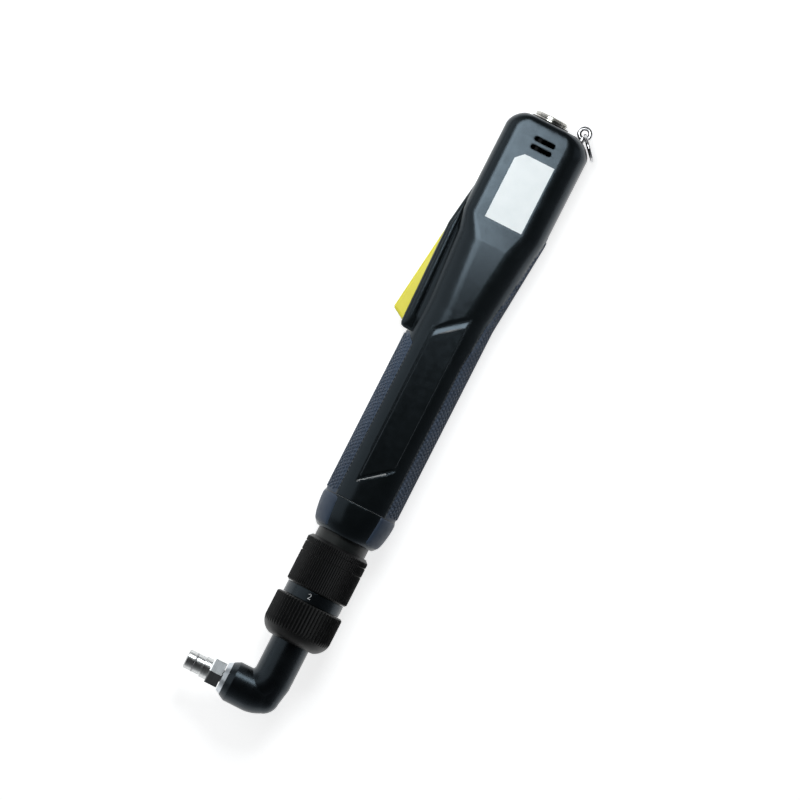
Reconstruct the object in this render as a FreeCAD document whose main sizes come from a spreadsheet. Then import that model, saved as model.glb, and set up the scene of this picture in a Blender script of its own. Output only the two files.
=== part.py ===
"""Angle-head electric screwdriver, as a parametric document.

The tool lies on its side: +Z is up, +Y runs along the tool from the head to the cable socket,
and the trigger and the bit point to -X. The model is drawn in the tool's own frame, with Y as the
drive axis and Y = 0 at the seam between housing and nose cap, and is then set down so that the
origin is the middle of its footprint on the surface that it lies on.
"""
import FreeCAD, Part
import math
import os

import Sketcher

# Driving dimensions in millimetres, and in degrees where the name says so
SIZES = {
    # Moulded housing
    "grip_radius": 18.0,
    "grip_corner": 15.5,
    "side_land_height": 17.3,
    "housing_length": 199.2,
    "flare_start": 100.0,
    "flare_end": 146.0,
    "ramp_start": 136.0,
    "tail_front": 20.5,
    "tail_back": 21.6,
    "tail_half_thickness": 15.6,
    "tail_front_corner": 7.0,
    "tail_back_corner": 11.5,
    "barrel_corner": 14.0,
    "tail_end_height": 9.8,
    "tail_end_front_inset": 9.4,
    "tail_end_back_inset": 11.5,
    "tail_end_side_inset": 4.8,
    "grip_bore_radius": 13.8,
    "side_wall": 2.4,
    "edge_wall": 4.0,
    "tail_wall": 8.0,
    "spigot_radius": 15.2,
    "spigot_length": 8.5,
    "panel_half_width": 7.6,
    "panel_low": 9.4,
    "panel_high": 89.0,
    "panel_slant": 12.5,
    "panel_depth": 0.8,
    "panel_head_bevel": 2.3,
    "panel_foot_bevel": 1.0,
    "vent_length": 10.6,
    "vent_width": 2.3,
    "vent_pitch": 4.1,
    "vent_from_end": 9.2,
    "vent_depth": 6.0,
    "vent_count": 2,
    # Rubber grips
    "rubber_thickness": 2.0,
    "rubber_half_width": 13.2,
    "grip_front_end": 83.0,
    "grip_front_taper": 4.0,
    "grip_front_end_half_width": 8.6,
    "grip_back_end": 151.0,
    "grip_back_taper": 71.0,
    "grip_back_end_half_width": 7.0,
    # Trigger rail, lever and switch
    "rail_half_width": 9.5,
    "rail_low": 83.5,
    "rail_peak": 137.0,
    "rail_high": 158.0,
    "rail_low_reach": 22.2,
    "rail_peak_reach": 23.4,
    "rail_root": 15.0,
    "rail_end_wall": 2.6,
    "rail_corner": 2.2,
    "rail_edge_round": 1.6,
    "saddle_half_width": 11.2,
    "saddle_round": 5.0,
    "saddle_start_reach": 16.6,
    "saddle_low_reach": 18.4,
    "saddle_peak_reach": 20.7,
    "saddle_end_reach": 19.4,
    "saddle_rise": 8.0,
    "saddle_fade": 1.6,
    "lever_half_width": 5.9,
    "lever_clearance": 0.3,
    "lever_tip_reach": 28.4,
    "lever_tip_rise": 3.6,
    "lever_inner_reach": 17.4,
    "lever_low_inner_reach": 18.6,
    "pivot_reach": 18.6,
    "pivot_height": 147.0,
    "pivot_radius": 1.5,
    "lever_eye_radius": 3.2,
    "lever_edge_round": 1.2,
    "lever_tip_round": 1.6,
    "foot_height": 131.0,
    "foot_reach": 10.2,
    "foot_half_width": 0.7,
    "foot_root_half_width": 2.2,
    "switch_gap": 0.2,
    "switch_front": 7.6,
    "switch_depth": 10.0,
    "switch_length": 20.0,
    "switch_half_thickness": 3.2,
    "plunger_radius": 1.4,
    "plunger_depth": 4.6,
    "plunger_clearance": 0.05,
    "return_spring_height": 104.0,
    "return_spring_radius": 2.6,
    "return_spring_wire": 0.7,
    "return_spring_turns": 4.0,
    "return_seat_reach": 9.4,
    "return_seat_wall": 2.0,
    "return_seat_length": 9.0,
    # Housing screws
    "screw_radius": 1.5,
    "screw_head_radius": 2.9,
    "screw_head_height": 2.2,
    "screw_recess": 1.2,
    "screw_reach": 9.0,
    "screw_clearance": 0.05,
    "boss_radius": 3.6,
    "screw_low_height": 107.0,
    "screw_low_back": 5.5,
    "screw_high_height": 176.0,
    "screw_high_back": 11.0,
    "screw_high_front": 12.4,
    # Nose cap and neck
    "nose_length": 16.8,
    "nose_radius": 18.2,
    "nose_side_height": 17.1,
    "nose_front_radius": 14.2,
    "nose_front_wall": 4.3,
    "turned_clearance": 0.05,
    "neck_flange_length": 4.0,
    "neck_collar_radius": 12.9,
    "neck_collar_end": 22.0,
    "neck_thread_radius": 12.4,
    "neck_end": 61.5,
    "neck_bore_radius": 9.45,
    "neck_web_start": 50.0,
    "neck_web_end": 56.0,
    "neck_slot_start": 26.6,
    "neck_slot_end": 35.6,
    # Torque nut, scale ring and coupling nut
    "torque_nut_start": 21.6,
    "torque_nut_end": 45.6,
    "torque_nut_radius": 15.5,
    "torque_nut_skirt_radius": 13.9,
    "torque_nut_step": 35.3,
    "torque_nut_chamfer": 1.6,
    "nut_groove_width": 0.7,
    "nut_groove_depth": 0.5,
    "nut_groove_first": 3.6,
    "nut_groove_second": 8.2,
    "torque_rib_count": 84,
    "torque_rib_depth": 0.45,
    "scale_ring_start": 45.9,
    "scale_ring_end": 51.4,
    "scale_ring_radius": 14.3,
    "coupling_nut_start": 51.7,
    "coupling_nut_end": 72.0,
    "coupling_nut_radius": 16.8,
    "coupling_lip_length": 3.0,
    "coupling_round": 8.4,
    "coupling_front_radius": 11.4,
    "coupling_rib_count": 60,
    "coupling_rib_depth": 0.7,
    "coupling_rib_end": 4.6,
    # Motor and planetary gearbox
    "case_radius": 13.5,
    "gearbox_start": 8.0,
    "gearbox_end": 33.0,
    "gearbox_front_wall": 1.6,
    "tooth_zone_start": 17.0,
    "carrier_bearing_radius": 9.5,
    "carrier_bearing_bore": 5.0,
    "carrier_bearing_length": 6.0,
    "gear_module": 0.6,
    "sun_teeth": 12,
    "planet_teeth": 12,
    "ring_teeth": 36,
    "planet_count": 3,
    "pressure_angle_degrees": 25.0,
    "gear_backlash": 0.12,
    "planet_pin_radius": 1.25,
    "planet_gap": 0.4,
    "planet_length": 9.0,
    "carrier_plate_length": 3.0,
    "carrier_plate_radius": 9.4,
    "carrier_hub_end": 2.0,
    "pilot_depth": 8.0,
    "motor_plate_length": 3.0,
    "motor_end": 82.0,
    "motor_can_wall": 1.2,
    "motor_front_wall": 3.0,
    "motor_cap_length": 3.0,
    "motor_cap_spigot": 2.0,
    "motor_bearing_radius": 4.0,
    "motor_shaft_radius": 1.5,
    "shaft_tail": 2.5,
    "stator_bore": 8.2,
    "stator_length": 30.0,
    "magnet_radius": 7.6,
    "magnet_length": 32.0,
    "running_clearance": 0.05,
    # Torque clutch and drive spindle
    "clutch_radius": 10.5,
    "cam_length": 5.0,
    "ball_radius": 2.0,
    "ball_circle": 7.6,
    "ball_count": 6,
    "ball_gap": 1.7,
    "plate_length": 5.2,
    "plate_hub_radius": 5.4,
    "plate_hub_length": 3.5,
    "clutch_spring_radius": 7.3,
    "clutch_spring_wire": 1.8,
    "clutch_spring_turns": 6.5,
    "seat_start": 31.0,
    "seat_end": 35.0,
    "seat_radius": 9.3,
    "seat_bore": 4.2,
    "lug_reach": 13.6,
    "lug_half_width": 1.9,
    "lug_clearance": 0.25,
    "washer_length": 1.0,
    "spindle_radius": 3.0,
    "spindle_hex": 7.0,
    "spindle_collar_radius": 5.0,
    "spindle_collar_length": 3.0,
    "bush_radius": 6.0,
    "bush_flange_radius": 8.0,
    "bush_flange_length": 1.0,
    "spindle_end": 62.0,
    "drive_hex": 5.0,
    "drive_hex_length": 8.0,
    "drive_hex_clearance": 0.1,
    # Angle head
    "head_radius": 9.4,
    "head_flange_radius": 12.3,
    "head_flange_length": 7.2,
    "head_spigot_length": 5.2,
    "output_height": 100.3,
    "elbow_offset": 11.6,
    "barrel_radius": 10.0,
    "barrel_reach": 19.2,
    "barrel_nose_radius": 8.4,
    "barrel_nose_length": 3.0,
    "dome_start": 6.0,
    "pinion_bearing_radius": 7.5,
    "pinion_bearing_length": 5.0,
    "pinion_bearing_shoulder": 71.0,
    "pinion_spacer": 4.0,
    "pinion_socket_radius": 4.6,
    "pinion_socket_start": 62.2,
    "pinion_chamber_radius": 7.1,
    "chamber_foot_radius": 5.2,
    "chamber_shoulder": 95.0,
    "chamber_low": 97.0,
    "gear_chamber_radius": 7.5,
    "chamber_back": 2.0,
    "bevel_module": 0.9,
    "bevel_teeth": 14,
    "bevel_face": 3.0,
    "bevel_backlash": 0.2,
    "bevel_hub": 1.6,
    "output_bearing_radius": 7.0,
    "output_bearing_length": 5.0,
    "output_bearing_start": 9.6,
    "output_shaft_radius": 2.2,
    "rear_bush_radius": 3.1,
    "rear_bush_length": 4.2,
    "output_nut_radius": 8.2,
    "output_nut_front_radius": 7.1,
    "output_nut_bore": 5.2,
    "output_nut_length": 2.2,
    "output_hex": 12.2,
    "output_hex_length": 6.2,
    "output_hex_gap": 0.4,
    "output_reach": 40.2,
    "holder_radius": 4.7,
    "holder_root_radius": 5.2,
    "holder_chamfer": 0.4,
    "bit_hex": 6.4,
    "bit_depth": 11.0,
    "clip_from_tip": 4.4,
    "clip_wire_radius": 0.3,
    "clip_depth": 0.4,
    "clip_opening_degrees": 60.0,
    "line_groove_from_tip": 8.4,
    "line_groove_width": 0.5,
    "line_groove_depth": 0.25,
    "bit_ball_radius": 0.8,
    "bit_ball_offset": 3.45,
    # Cable socket, hanging eye and ring
    "socket_offset": 2.0,
    "socket_radius": 8.0,
    "socket_bore": 6.7,
    "socket_chamfer": 0.5,
    "socket_proud": 3.4,
    "socket_flange_radius": 9.4,
    "socket_flange_length": 2.0,
    "socket_tail": 4.0,
    "socket_depth": 7.0,
    "insert_length": 8.0,
    "contact_radius": 0.8,
    "contact_circle": 3.9,
    "contact_count": 5,
    "contact_proud": 3.0,
    "contact_tail": 3.0,
    "socket_nut_radius": 9.2,
    "socket_nut_length": 0.8,
    "socket_relief_width": 0.6,
    "socket_relief_depth": 0.5,
    "eye_back": 14.8,
    "eye_rise": 3.2,
    "eye_radius": 2.6,
    "eye_wire_radius": 1.1,
    "eye_stud_radius": 1.5,
    "eye_stud_end": 190.0,
    "ring_radius": 6.3,
    "ring_wire_radius": 0.8,
    "ring_slack": 0.5,
    "ring_rest_degrees": -48.0,
    # Control board and label
    "board_low": 119.0,
    "board_high": 168.0,
    "board_near": 3.0,
    "board_far": 13.0,
    "board_level": 7.0,
    "board_thickness": 1.6,
    "board_rib_width": 2.0,
    "capacitor_radius": 4.0,
    "capacitor_length": 12.0,
    "chip_length": 9.0,
    "chip_width": 6.5,
    "chip_height": 2.3,
    "chip_count": 3,
    "label_length": 34.2,
    "label_width": 19.0,
    "label_from_end": 18.2,
    "label_clip": 3.6,
    "label_thickness": 0.25,
    # Shared by every cut that has to run out of its piece
    "overrun": 1.0,
}

FULL_TURN = 360
QUARTER_TURN = 90
HEX_SIDES = 6
GEAR_ADDENDUM_SHARE = 0.9
GEAR_DEDENDUM_SHARE = 1.2
FLANK_STEPS = 4


class Size:
    """A number that keeps the sheet expression it came from, so what it sizes stays bound to the sheet."""

    def __init__(self, value, text):
        self.value = value
        self.text = text

    def __add__(self, other):
        other = as_size(other)
        return Size(self.value + other.value, f"({self.text} + {other.text})")

    def __sub__(self, other):
        other = as_size(other)
        return Size(self.value - other.value, f"({self.text} - {other.text})")

    def __mul__(self, other):
        other = as_size(other)
        return Size(self.value * other.value, f"({self.text} * {other.text})")

    def __truediv__(self, other):
        other = as_size(other)
        return Size(self.value / other.value, f"({self.text} / {other.text})")

    def __rsub__(self, other):
        return as_size(other) - self

    def __neg__(self):
        return Size(-self.value, f"(-1 * {self.text})")

    __radd__ = __add__
    __rmul__ = __mul__

    def root(self):
        return Size(math.sqrt(self.value), f"sqrt({self.text})")


def as_size(number):
    """A Size as it is, and a plain count or share as a Size of its own."""
    return number if isinstance(number, Size) else Size(float(number), repr(float(number)))


class Sheet:
    """The spreadsheet of driving dimensions, read as attributes."""

    def __init__(self, document, sizes):
        cells = document.addObject("Spreadsheet::Sheet", "sizes")
        for row, (alias, value) in enumerate(sizes.items(), start=1):
            cells.set(f"A{row}", alias)
            cells.set(f"B{row}", str(value))
            cells.setAlias(f"B{row}", alias)
        self.known = sizes

    def __getattr__(self, alias):
        return Size(float(self.known[alias]), f"sizes.{alias}")


doc = FreeCAD.newDocument("angle_screwdriver")
d = Sheet(doc, SIZES)
doc.recompute()
parts = {}


# Helpers that draw and build


def vector(x, y, z=0):
    return FreeCAD.Vector(as_size(x).value, as_size(y).value, as_size(z).value)


def bind(feature, prop, size):
    """Sets a property to a size and keeps it bound to the sheet."""
    setattr(feature, prop, as_size(size).value)
    feature.setExpression(prop, as_size(size).text)


def put(feature, x=0, y=0, z=0, rotation=None):
    """Places a feature at named offsets in the tool's frame."""
    feature.Placement = FreeCAD.Placement(vector(x, y, z), rotation or FreeCAD.Rotation())
    for axis, offset in zip("xyz", (x, y, z)):
        if isinstance(offset, Size):
            feature.setExpression(f"Placement.Base.{axis}", offset.text)
    return feature


def arc_between(start, end, radius):
    """The short arc from start to end; it turns left where the radius is positive."""
    chord = end - start
    rise = math.sqrt(max(radius * radius - chord.Length ** 2 / 4, 0))
    left = FreeCAD.Vector(-chord.y, chord.x, 0).normalize()
    centre = (start + end) * 0.5 + left * rise * math.copysign(1, radius)
    angles = [math.atan2(p.y - centre.y, p.x - centre.x) for p in (start, end)]
    if radius < 0:
        angles.reverse()
    circle = Part.Circle(centre, FreeCAD.Vector(0, 0, 1), abs(radius))
    return Part.ArcOfCircle(circle, *angles)


def draw(sketch, outline):
    """Draws a closed outline with every corner bound to the sheet.

    A corner is (x, y), reached by a straight line, or (x, y, radius), reached by an arc that turns
    left where the radius is positive and right where it is negative.
    """
    corners = [vector(corner[0], corner[1]) for corner in outline]
    first = sketch.GeometryCount
    ends = []
    for index, corner in enumerate(outline):
        start, end = corners[index - 1], corners[index]
        turn = as_size(corner[2]).value if len(corner) > 2 else 0
        sketch.addGeometry(arc_between(start, end, turn) if turn else Part.LineSegment(start, end))
        ends.append((2, 1) if turn < 0 else (1, 2))
    constraints, bound = [], []
    count = len(outline)
    for index, corner in enumerate(outline):
        after = (index + 1) % count
        line, end = first + index, ends[index][1]
        constraints.append(Sketcher.Constraint("Coincident", line, end, first + after, ends[after][0]))
        for kind, axis, offset in (("DistanceX", -2, corner[0]), ("DistanceY", -1, corner[1])):
            if as_size(offset).value:
                bound.append((len(constraints), offset))
                constraints.append(Sketcher.Constraint(kind, -1, 1, line, end, offset.value))
            else:
                constraints.append(Sketcher.Constraint("PointOnObject", line, end, axis))
        if len(corner) > 2:
            radius = corner[2] if as_size(corner[2]).value > 0 else -corner[2]
            bound.append((len(constraints), radius))
            constraints.append(Sketcher.Constraint("Radius", line, radius.value))
    offset = sketch.ConstraintCount
    sketch.addConstraint(constraints)
    for index, size in bound:
        sketch.setExpression(f"Constraints[{offset + index}]", size.text)


def sketch_in(body, plane, *outlines, right=0, up=0, out=0):
    """A sketch on a plane of the body, moved by named offsets along its own axes."""
    sketch = body.newObject("Sketcher::SketchObject", "outline")
    support = [feature for feature in body.Origin.OriginFeatures if feature.Role == plane]
    sketch.AttachmentSupport = [(support[0], "")]
    sketch.MapMode = "FlatFace"
    sketch.AttachmentOffset = FreeCAD.Placement(vector(right, up, out), FreeCAD.Rotation())
    for axis, offset in zip("xyz", (right, up, out)):
        if isinstance(offset, Size):
            sketch.setExpression(f"AttachmentOffset.Base.{axis}", offset.text)
    for outline in outlines:
        draw(sketch, outline)
    return sketch


def keep(label, feature):
    """Records a finished piece under the name of its node."""
    feature.Label = label
    parts[label] = feature
    return feature


def turned(label, outline, axis="V_Axis", turn=FULL_TURN, plane="XY_Plane", backwards=False, **offsets):
    """A piece turned from its half section about the drive axis, or about its H axis."""
    body = doc.addObject("PartDesign::Body", label)
    profile = sketch_in(body, plane, outline, **offsets)
    revolution = body.newObject("PartDesign::Revolution", "revolution")
    revolution.Profile = profile
    revolution.ReferenceAxis = (profile, [axis])
    revolution.Angle = turn
    revolution.Reversed = backwards
    return body


def tube(label, inner, outer, start, end):
    """A plain turned ring from start to end along the drive axis."""
    return turned(label, [(inner, start), (outer, start), (outer, end), (inner, end)])


def turned_on_x(label, outline):
    """A piece turned about the output axis of the head."""
    return turned(label, outline, axis="H_Axis", up=-d.output_height)


def pad(body, plane, length, *outlines, both_ways=True, **offsets):
    feature = body.newObject("PartDesign::Pad", "pad")
    feature.Profile = sketch_in(body, plane, *outlines, **offsets)
    feature.SideType = "Symmetric" if both_ways else "One side"
    bind(feature, "Length", length)
    return feature


def padded(label, plane, length, *outlines, **options):
    """A piece of even thickness from its outlines."""
    body = doc.addObject("PartDesign::Body", label)
    pad(body, plane, length, *outlines, **options)
    return body


def pocket(body, plane, length, *outlines, **offsets):
    """A cut of even depth, to both sides of its sketch."""
    feature = body.newObject("PartDesign::Pocket", "pocket")
    feature.Profile = sketch_in(body, plane, *outlines, **offsets)
    feature.SideType = "Symmetric"
    bind(feature, "Length", length)
    return feature


def around(body, feature, count, axis):
    """Repeats a feature of a body evenly about an axis of its sketch."""
    pattern = body.newObject("PartDesign::PolarPattern", "pattern")
    pattern.Originals = [feature]
    pattern.Axis = (feature.Profile[0], [axis])
    pattern.Angle = FULL_TURN
    pattern.Occurrences = int(count.value)
    pattern.setExpression("Occurrences", count.text)
    body.Tip = pattern
    return pattern


def cylinder(radius, length, x=0, y=0, z=0, along="Y"):
    """A plain cylinder that starts at a point and runs along an axis of the tool."""
    solid = doc.addObject("Part::Cylinder", "cylinder")
    bind(solid, "Radius", radius)
    bind(solid, "Height", length)
    turns = {"X": (0, 1, 0, QUARTER_TURN), "Y": (1, 0, 0, -QUARTER_TURN), "Z": (0, 0, 1, 0)}
    *axis, angle = turns[along]
    return put(solid, x, y, z, FreeCAD.Rotation(FreeCAD.Vector(*axis), angle))


def box(left, right, low, high, under, over):
    """A block between named limits along X, Y and Z."""
    solid = doc.addObject("Part::Box", "box")
    for prop, start, end in (("Length", left, right), ("Width", low, high), ("Height", under, over)):
        bind(solid, prop, as_size(end) - start)
    return put(solid, left, low, under)


def sphere(radius, x=0, y=0, z=0):
    solid = doc.addObject("Part::Sphere", "sphere")
    bind(solid, "Radius", radius)
    return put(solid, x, y, z)


def fuse(*features):
    """The union of features, or the only one as it is."""
    if len(features) == 1:
        return features[0]
    union = doc.addObject("Part::MultiFuse", "fuse")
    union.Shapes = list(features)
    return union


def common(*features):
    shared = doc.addObject("Part::MultiCommon", "common")
    shared.Shapes = list(features)
    return shared


def cut(base, *tools):
    """A feature less its tools, taken off in one go."""
    rest = doc.addObject("Part::Cut", "cut")
    rest.Base = base
    rest.Tool = fuse(*tools)
    return rest


def section(y, outline):
    """A cross section of the housing at a height along the drive axis."""
    sketch = doc.addObject("Sketcher::SketchObject", "section")
    draw(sketch, outline)
    return put(sketch, 0, y, 0, FreeCAD.Rotation(FreeCAD.Vector(1, 0, 0), QUARTER_TURN))


def loft(sections, ruled=True):
    skin = doc.addObject("Part::Loft", "loft")
    skin.Sections = sections
    skin.Solid = True
    skin.Ruled = ruled
    return skin


def level(z, outline):
    """An outline in the side view at a height above the drive axis."""
    sketch = doc.addObject("Sketcher::SketchObject", "level")
    draw(sketch, outline)
    return put(sketch, 0, 0, z)


def block(outline, under, over):
    """An outline in the side view, drawn out between two heights."""
    solid = doc.addObject("Part::Extrusion", "block")
    solid.Base = level(under, outline)
    solid.DirMode = "Normal"
    solid.Solid = True
    bind(solid, "LengthFwd", over - under)
    return solid


def prism(outline, plane, length):
    """An outline in the side view (XY) or in the front view (YZ), drawn out to both sides."""
    sketch = doc.addObject("Sketcher::SketchObject", "outline")
    draw(sketch, outline)
    if plane == "YZ":
        axes = (FreeCAD.Vector(0, 1, 0), FreeCAD.Vector(0, 0, 1), FreeCAD.Vector(1, 0, 0))
        sketch.Placement = FreeCAD.Placement(FreeCAD.Vector(), FreeCAD.Rotation(*axes, "XYZ"))
    solid = doc.addObject("Part::Extrusion", "prism")
    solid.Base = sketch
    solid.DirMode = "Normal"
    solid.Solid = True
    solid.Symmetric = True
    bind(solid, "LengthFwd", length)
    return solid


def solid_of(shape):
    """A feature that holds a computed shape."""
    feature = doc.addObject("Part::Feature", "shape")
    feature.Shape = shape
    return feature


def hexagon(flats, turn=0):
    """Corners of a hexagon by the distance across its flats, turned by a share of one side."""
    corners = []
    reach = flats / (2 * math.cos(math.pi / HEX_SIDES))
    for side in range(HEX_SIDES):
        angle = 2 * math.pi * (side + turn) / HEX_SIDES
        corners.append((reach * math.cos(angle), reach * math.sin(angle)))
    return corners


def box_outline(left, right, low, high):
    return [(left, low), (right, low), (right, high), (left, high)]


def disc_outline(x, y, radius):
    """A circle as four quarter arcs."""
    low = [(x - radius, y, radius), (x, y - radius, radius)]
    high = [(x + radius, y, radius), (x, y + radius, radius)]
    return low + high


# Housing: the outside as sections along the drive axis, with flat lands on both sides


def rounded(front, back, half, front_corner, back_corner):
    """A cross section with flat sides and rounded corners."""
    return [
        (front_corner - front, -half, front_corner),
        (back - back_corner, -half),
        (back, back_corner - half, back_corner),
        (back, half - back_corner),
        (back - back_corner, half, back_corner),
        (front_corner - front, half),
        (-front, half - front_corner, front_corner),
        (-front, front_corner - half),
    ]


flare_share = (d.ramp_start - d.flare_start) / (d.flare_end - d.flare_start)
ramp_front = d.grip_radius + (d.tail_front - d.grip_radius) * flare_share
ramp_back = d.grip_radius + (d.tail_back - d.grip_radius) * flare_share
cap_start = d.housing_length - d.tail_end_height


def barrel(inset):
    """The outside of grip and tail up to the rounded end, moved inwards by an inset."""
    ramp = (ramp_front - inset, ramp_back - inset, d.side_land_height - inset)
    tail = (d.tail_front - inset, d.tail_back - inset, d.tail_half_thickness - inset)
    ramp_corners = (d.barrel_corner - inset, d.barrel_corner - inset)
    tail_corners = (d.tail_front_corner - inset, d.tail_back_corner - inset)
    grip = rounded(
        d.grip_radius - inset, d.grip_radius - inset, d.side_land_height - inset,
        d.grip_corner - inset, d.grip_corner - inset,
    )
    return loft([
        section(as_size(0), grip),
        section(d.flare_start, grip),
        section(d.ramp_start, rounded(*ramp, *ramp_corners)),
        section(d.flare_end, rounded(*tail, *tail_corners)),
        section(cap_start, rounded(*tail, *tail_corners)),
    ])


CAP_TURNS = (0, 30, 60, 90)
CAP_CORNER_SHARE = 0.45
cap_sections = []
for turn in CAP_TURNS:
    rise = d.tail_end_height * math.sin(math.radians(turn))
    pull = 1 - math.cos(math.radians(turn))
    corner_share = 1 - CAP_CORNER_SHARE * pull
    cap_sections.append(section(cap_start + rise, rounded(
        d.tail_front - d.tail_end_front_inset * pull,
        d.tail_back - d.tail_end_back_inset * pull,
        d.tail_half_thickness - d.tail_end_side_inset * pull * pull * pull,
        d.tail_front_corner * corner_share,
        d.tail_back_corner * corner_share,
    )))
outside = fuse(barrel(as_size(0)), loft(cap_sections, ruled=False))

RAIL_TURNS = (0, 45, 90)
rail_sections = []
for turn in RAIL_TURNS:
    rise = d.rail_corner * (1 - math.cos(math.radians(turn)))
    reach = d.rail_low_reach - d.rail_corner * (1 - math.sin(math.radians(turn)))
    rail_sections.append((d.rail_low + rise, reach))
rail_sections += [(d.rail_peak, d.rail_peak_reach), (d.rail_high, d.tail_front)]
rails = loft([
    section(y, rounded(reach, -d.rail_root, d.rail_half_width, d.rail_edge_round, d.rail_edge_round))
    for y, reach in rail_sections
])
saddle_low = d.grip_front_end + d.saddle_rise
saddle_sections = [
    (d.grip_front_end, d.saddle_start_reach, d.saddle_half_width - d.saddle_fade),
    (saddle_low, d.saddle_low_reach, d.saddle_half_width),
    (d.flare_end, d.saddle_peak_reach, d.saddle_half_width),
    (d.rail_high, d.saddle_end_reach, d.saddle_half_width - d.saddle_fade),
]
saddle = loft([
    section(y, rounded(reach, as_size(0), half, d.saddle_round, d.saddle_round))
    for y, reach, half in saddle_sections
])
spigot = cylinder(d.spigot_radius, d.spigot_length + d.overrun, y=-d.spigot_length)

motor_cap_end = d.motor_end + d.motor_cap_length
cavity_corner = d.grip_bore_radius - d.overrun
cavity_grip = rounded(
    d.grip_bore_radius, d.grip_bore_radius, d.grip_bore_radius, cavity_corner, cavity_corner,
)
cavity_ramp = rounded(
    ramp_front - d.edge_wall,
    ramp_back - d.edge_wall,
    d.side_land_height - d.side_wall,
    d.barrel_corner - d.side_wall,
    d.barrel_corner - d.side_wall,
)
cavity_tail = rounded(
    d.tail_front - d.edge_wall,
    d.tail_back - d.edge_wall,
    d.tail_half_thickness - d.side_wall,
    d.tail_front_corner - d.side_wall,
    d.tail_back_corner - d.side_wall,
)
cavity_end = d.housing_length - d.tail_wall
cavity = fuse(
    cylinder(
        d.grip_bore_radius, d.spigot_length + motor_cap_end + d.overrun * 2, y=-d.spigot_length - d.overrun,
    ),
    loft([
        section(motor_cap_end, cavity_grip),
        section(d.ramp_start, cavity_ramp),
        section(d.flare_end, cavity_tail),
        section(cavity_end, cavity_tail),
    ]),
)

# Rubber strips lie in pockets of their own thickness
rubber_core = barrel(d.rubber_thickness)


def strip_outline(end, taper, end_half):
    """A strip in the front view that narrows over its last stretch."""
    return [
        (as_size(0), -d.rubber_half_width),
        (end - taper, -d.rubber_half_width),
        (end, -end_half),
        (end, end_half),
        (end - taper, d.rubber_half_width),
        (as_size(0), d.rubber_half_width),
    ]


far = d.tail_back * 2
front_side = box(-far, 0, -d.overrun, d.housing_length, -far, far)
back_side = box(0, far, -d.overrun, d.housing_length, -far, far)
front_outline = strip_outline(d.grip_front_end, d.grip_front_taper, d.grip_front_end_half_width)
back_outline = strip_outline(d.grip_back_end, d.grip_back_taper, d.grip_back_end_half_width)
front_strip = common(prism(front_outline, "YZ", far * 2), front_side)
back_strip = common(prism(back_outline, "YZ", far * 2), back_side)
front_pocket = cut(front_strip, rubber_core)
back_pocket = cut(back_strip, rubber_core)
keep("grip_front", common(outside, front_pocket))
keep("grip_back", common(outside, back_pocket))

# Flat panel sunk into both sides of the grip, with a slanted and bevelled step at each end


def panel_outline(spread):
    """The panel at a level above its floor that is a share of its depth."""
    low = d.panel_low - d.panel_foot_bevel * spread
    high = d.panel_high + d.panel_head_bevel * spread
    return [
        (-d.panel_half_width, low),
        (d.panel_half_width, low + d.panel_slant),
        (d.panel_half_width, high + d.panel_slant),
        (-d.panel_half_width, high),
    ]


PANEL_LEVEL_SHARES = (0, 2)
panel_cutter = loft([
    level(d.side_land_height + d.panel_depth * (share - 1), panel_outline(share))
    for share in PANEL_LEVEL_SHARES
])
panel_mirror = doc.addObject("Part::Mirroring", "mirrored_panel")
panel_mirror.Source = panel_cutter
panel_mirror.Normal = FreeCAD.Vector(0, 0, 1)

vents = []
vent_end = d.vent_width / 2
vent_run = d.vent_length / 2 - vent_end
for row in range(SIZES["vent_count"]):
    vent_y = d.housing_length - d.vent_from_end - d.vent_pitch * row
    vents.append(block([
        (-vent_run, vent_y - vent_end, vent_end),
        (vent_run, vent_y - vent_end),
        (vent_run + vent_end, vent_y, vent_end),
        (vent_run, vent_y + vent_end, vent_end),
        (-vent_run, vent_y + vent_end),
        (-vent_run - vent_end, vent_y, vent_end),
    ], d.tail_half_thickness - d.vent_depth, d.tail_half_thickness + d.overrun))

# Lever slot, pivot hole, screw bosses and inner ribs
slot_half = d.lever_half_width + d.lever_clearance
slot_low = d.rail_low + d.rail_end_wall
slot_high = d.pivot_height + d.lever_eye_radius + d.lever_clearance
lever_slot = box(-far, -d.foot_reach, slot_low, slot_high, -slot_half, slot_half)
pivot_hole = cylinder(
    d.pivot_radius, d.rail_half_width * 2 - d.overrun * 2, -d.pivot_reach, d.pivot_height,
    d.overrun - d.rail_half_width, along="Z",
)
screw_places = [
    (d.screw_low_back, d.screw_low_height),
    (d.screw_high_back, d.screw_high_height),
    (-d.screw_high_front, d.screw_high_height),
]
head_seat = d.tail_half_thickness - d.screw_recess - d.screw_head_height
bosses, bores, screws = [], [], []
for x, y in screw_places:
    bosses.append(cylinder(d.boss_radius, far, x, y, -d.tail_back, along="Z"))
    bores.append(cylinder(d.screw_radius, d.screw_reach, x, y, 0, along="Z"))
    bores.append(cylinder(d.screw_radius + d.screw_clearance, head_seat, x, y, -head_seat, along="Z"))
    bores.append(cylinder(
        d.screw_head_radius + d.screw_clearance, d.screw_head_height + far, x, y,
        -head_seat - d.screw_head_height - far, along="Z",
    ))
    screws.append(cylinder(d.screw_radius, head_seat + d.screw_reach, x, y, -head_seat, along="Z"))
    screws.append(cylinder(
        d.screw_head_radius, d.screw_head_height, x, y, -head_seat - d.screw_head_height, along="Z",
    ))
keep("housing_screws", fuse(*screws))

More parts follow.
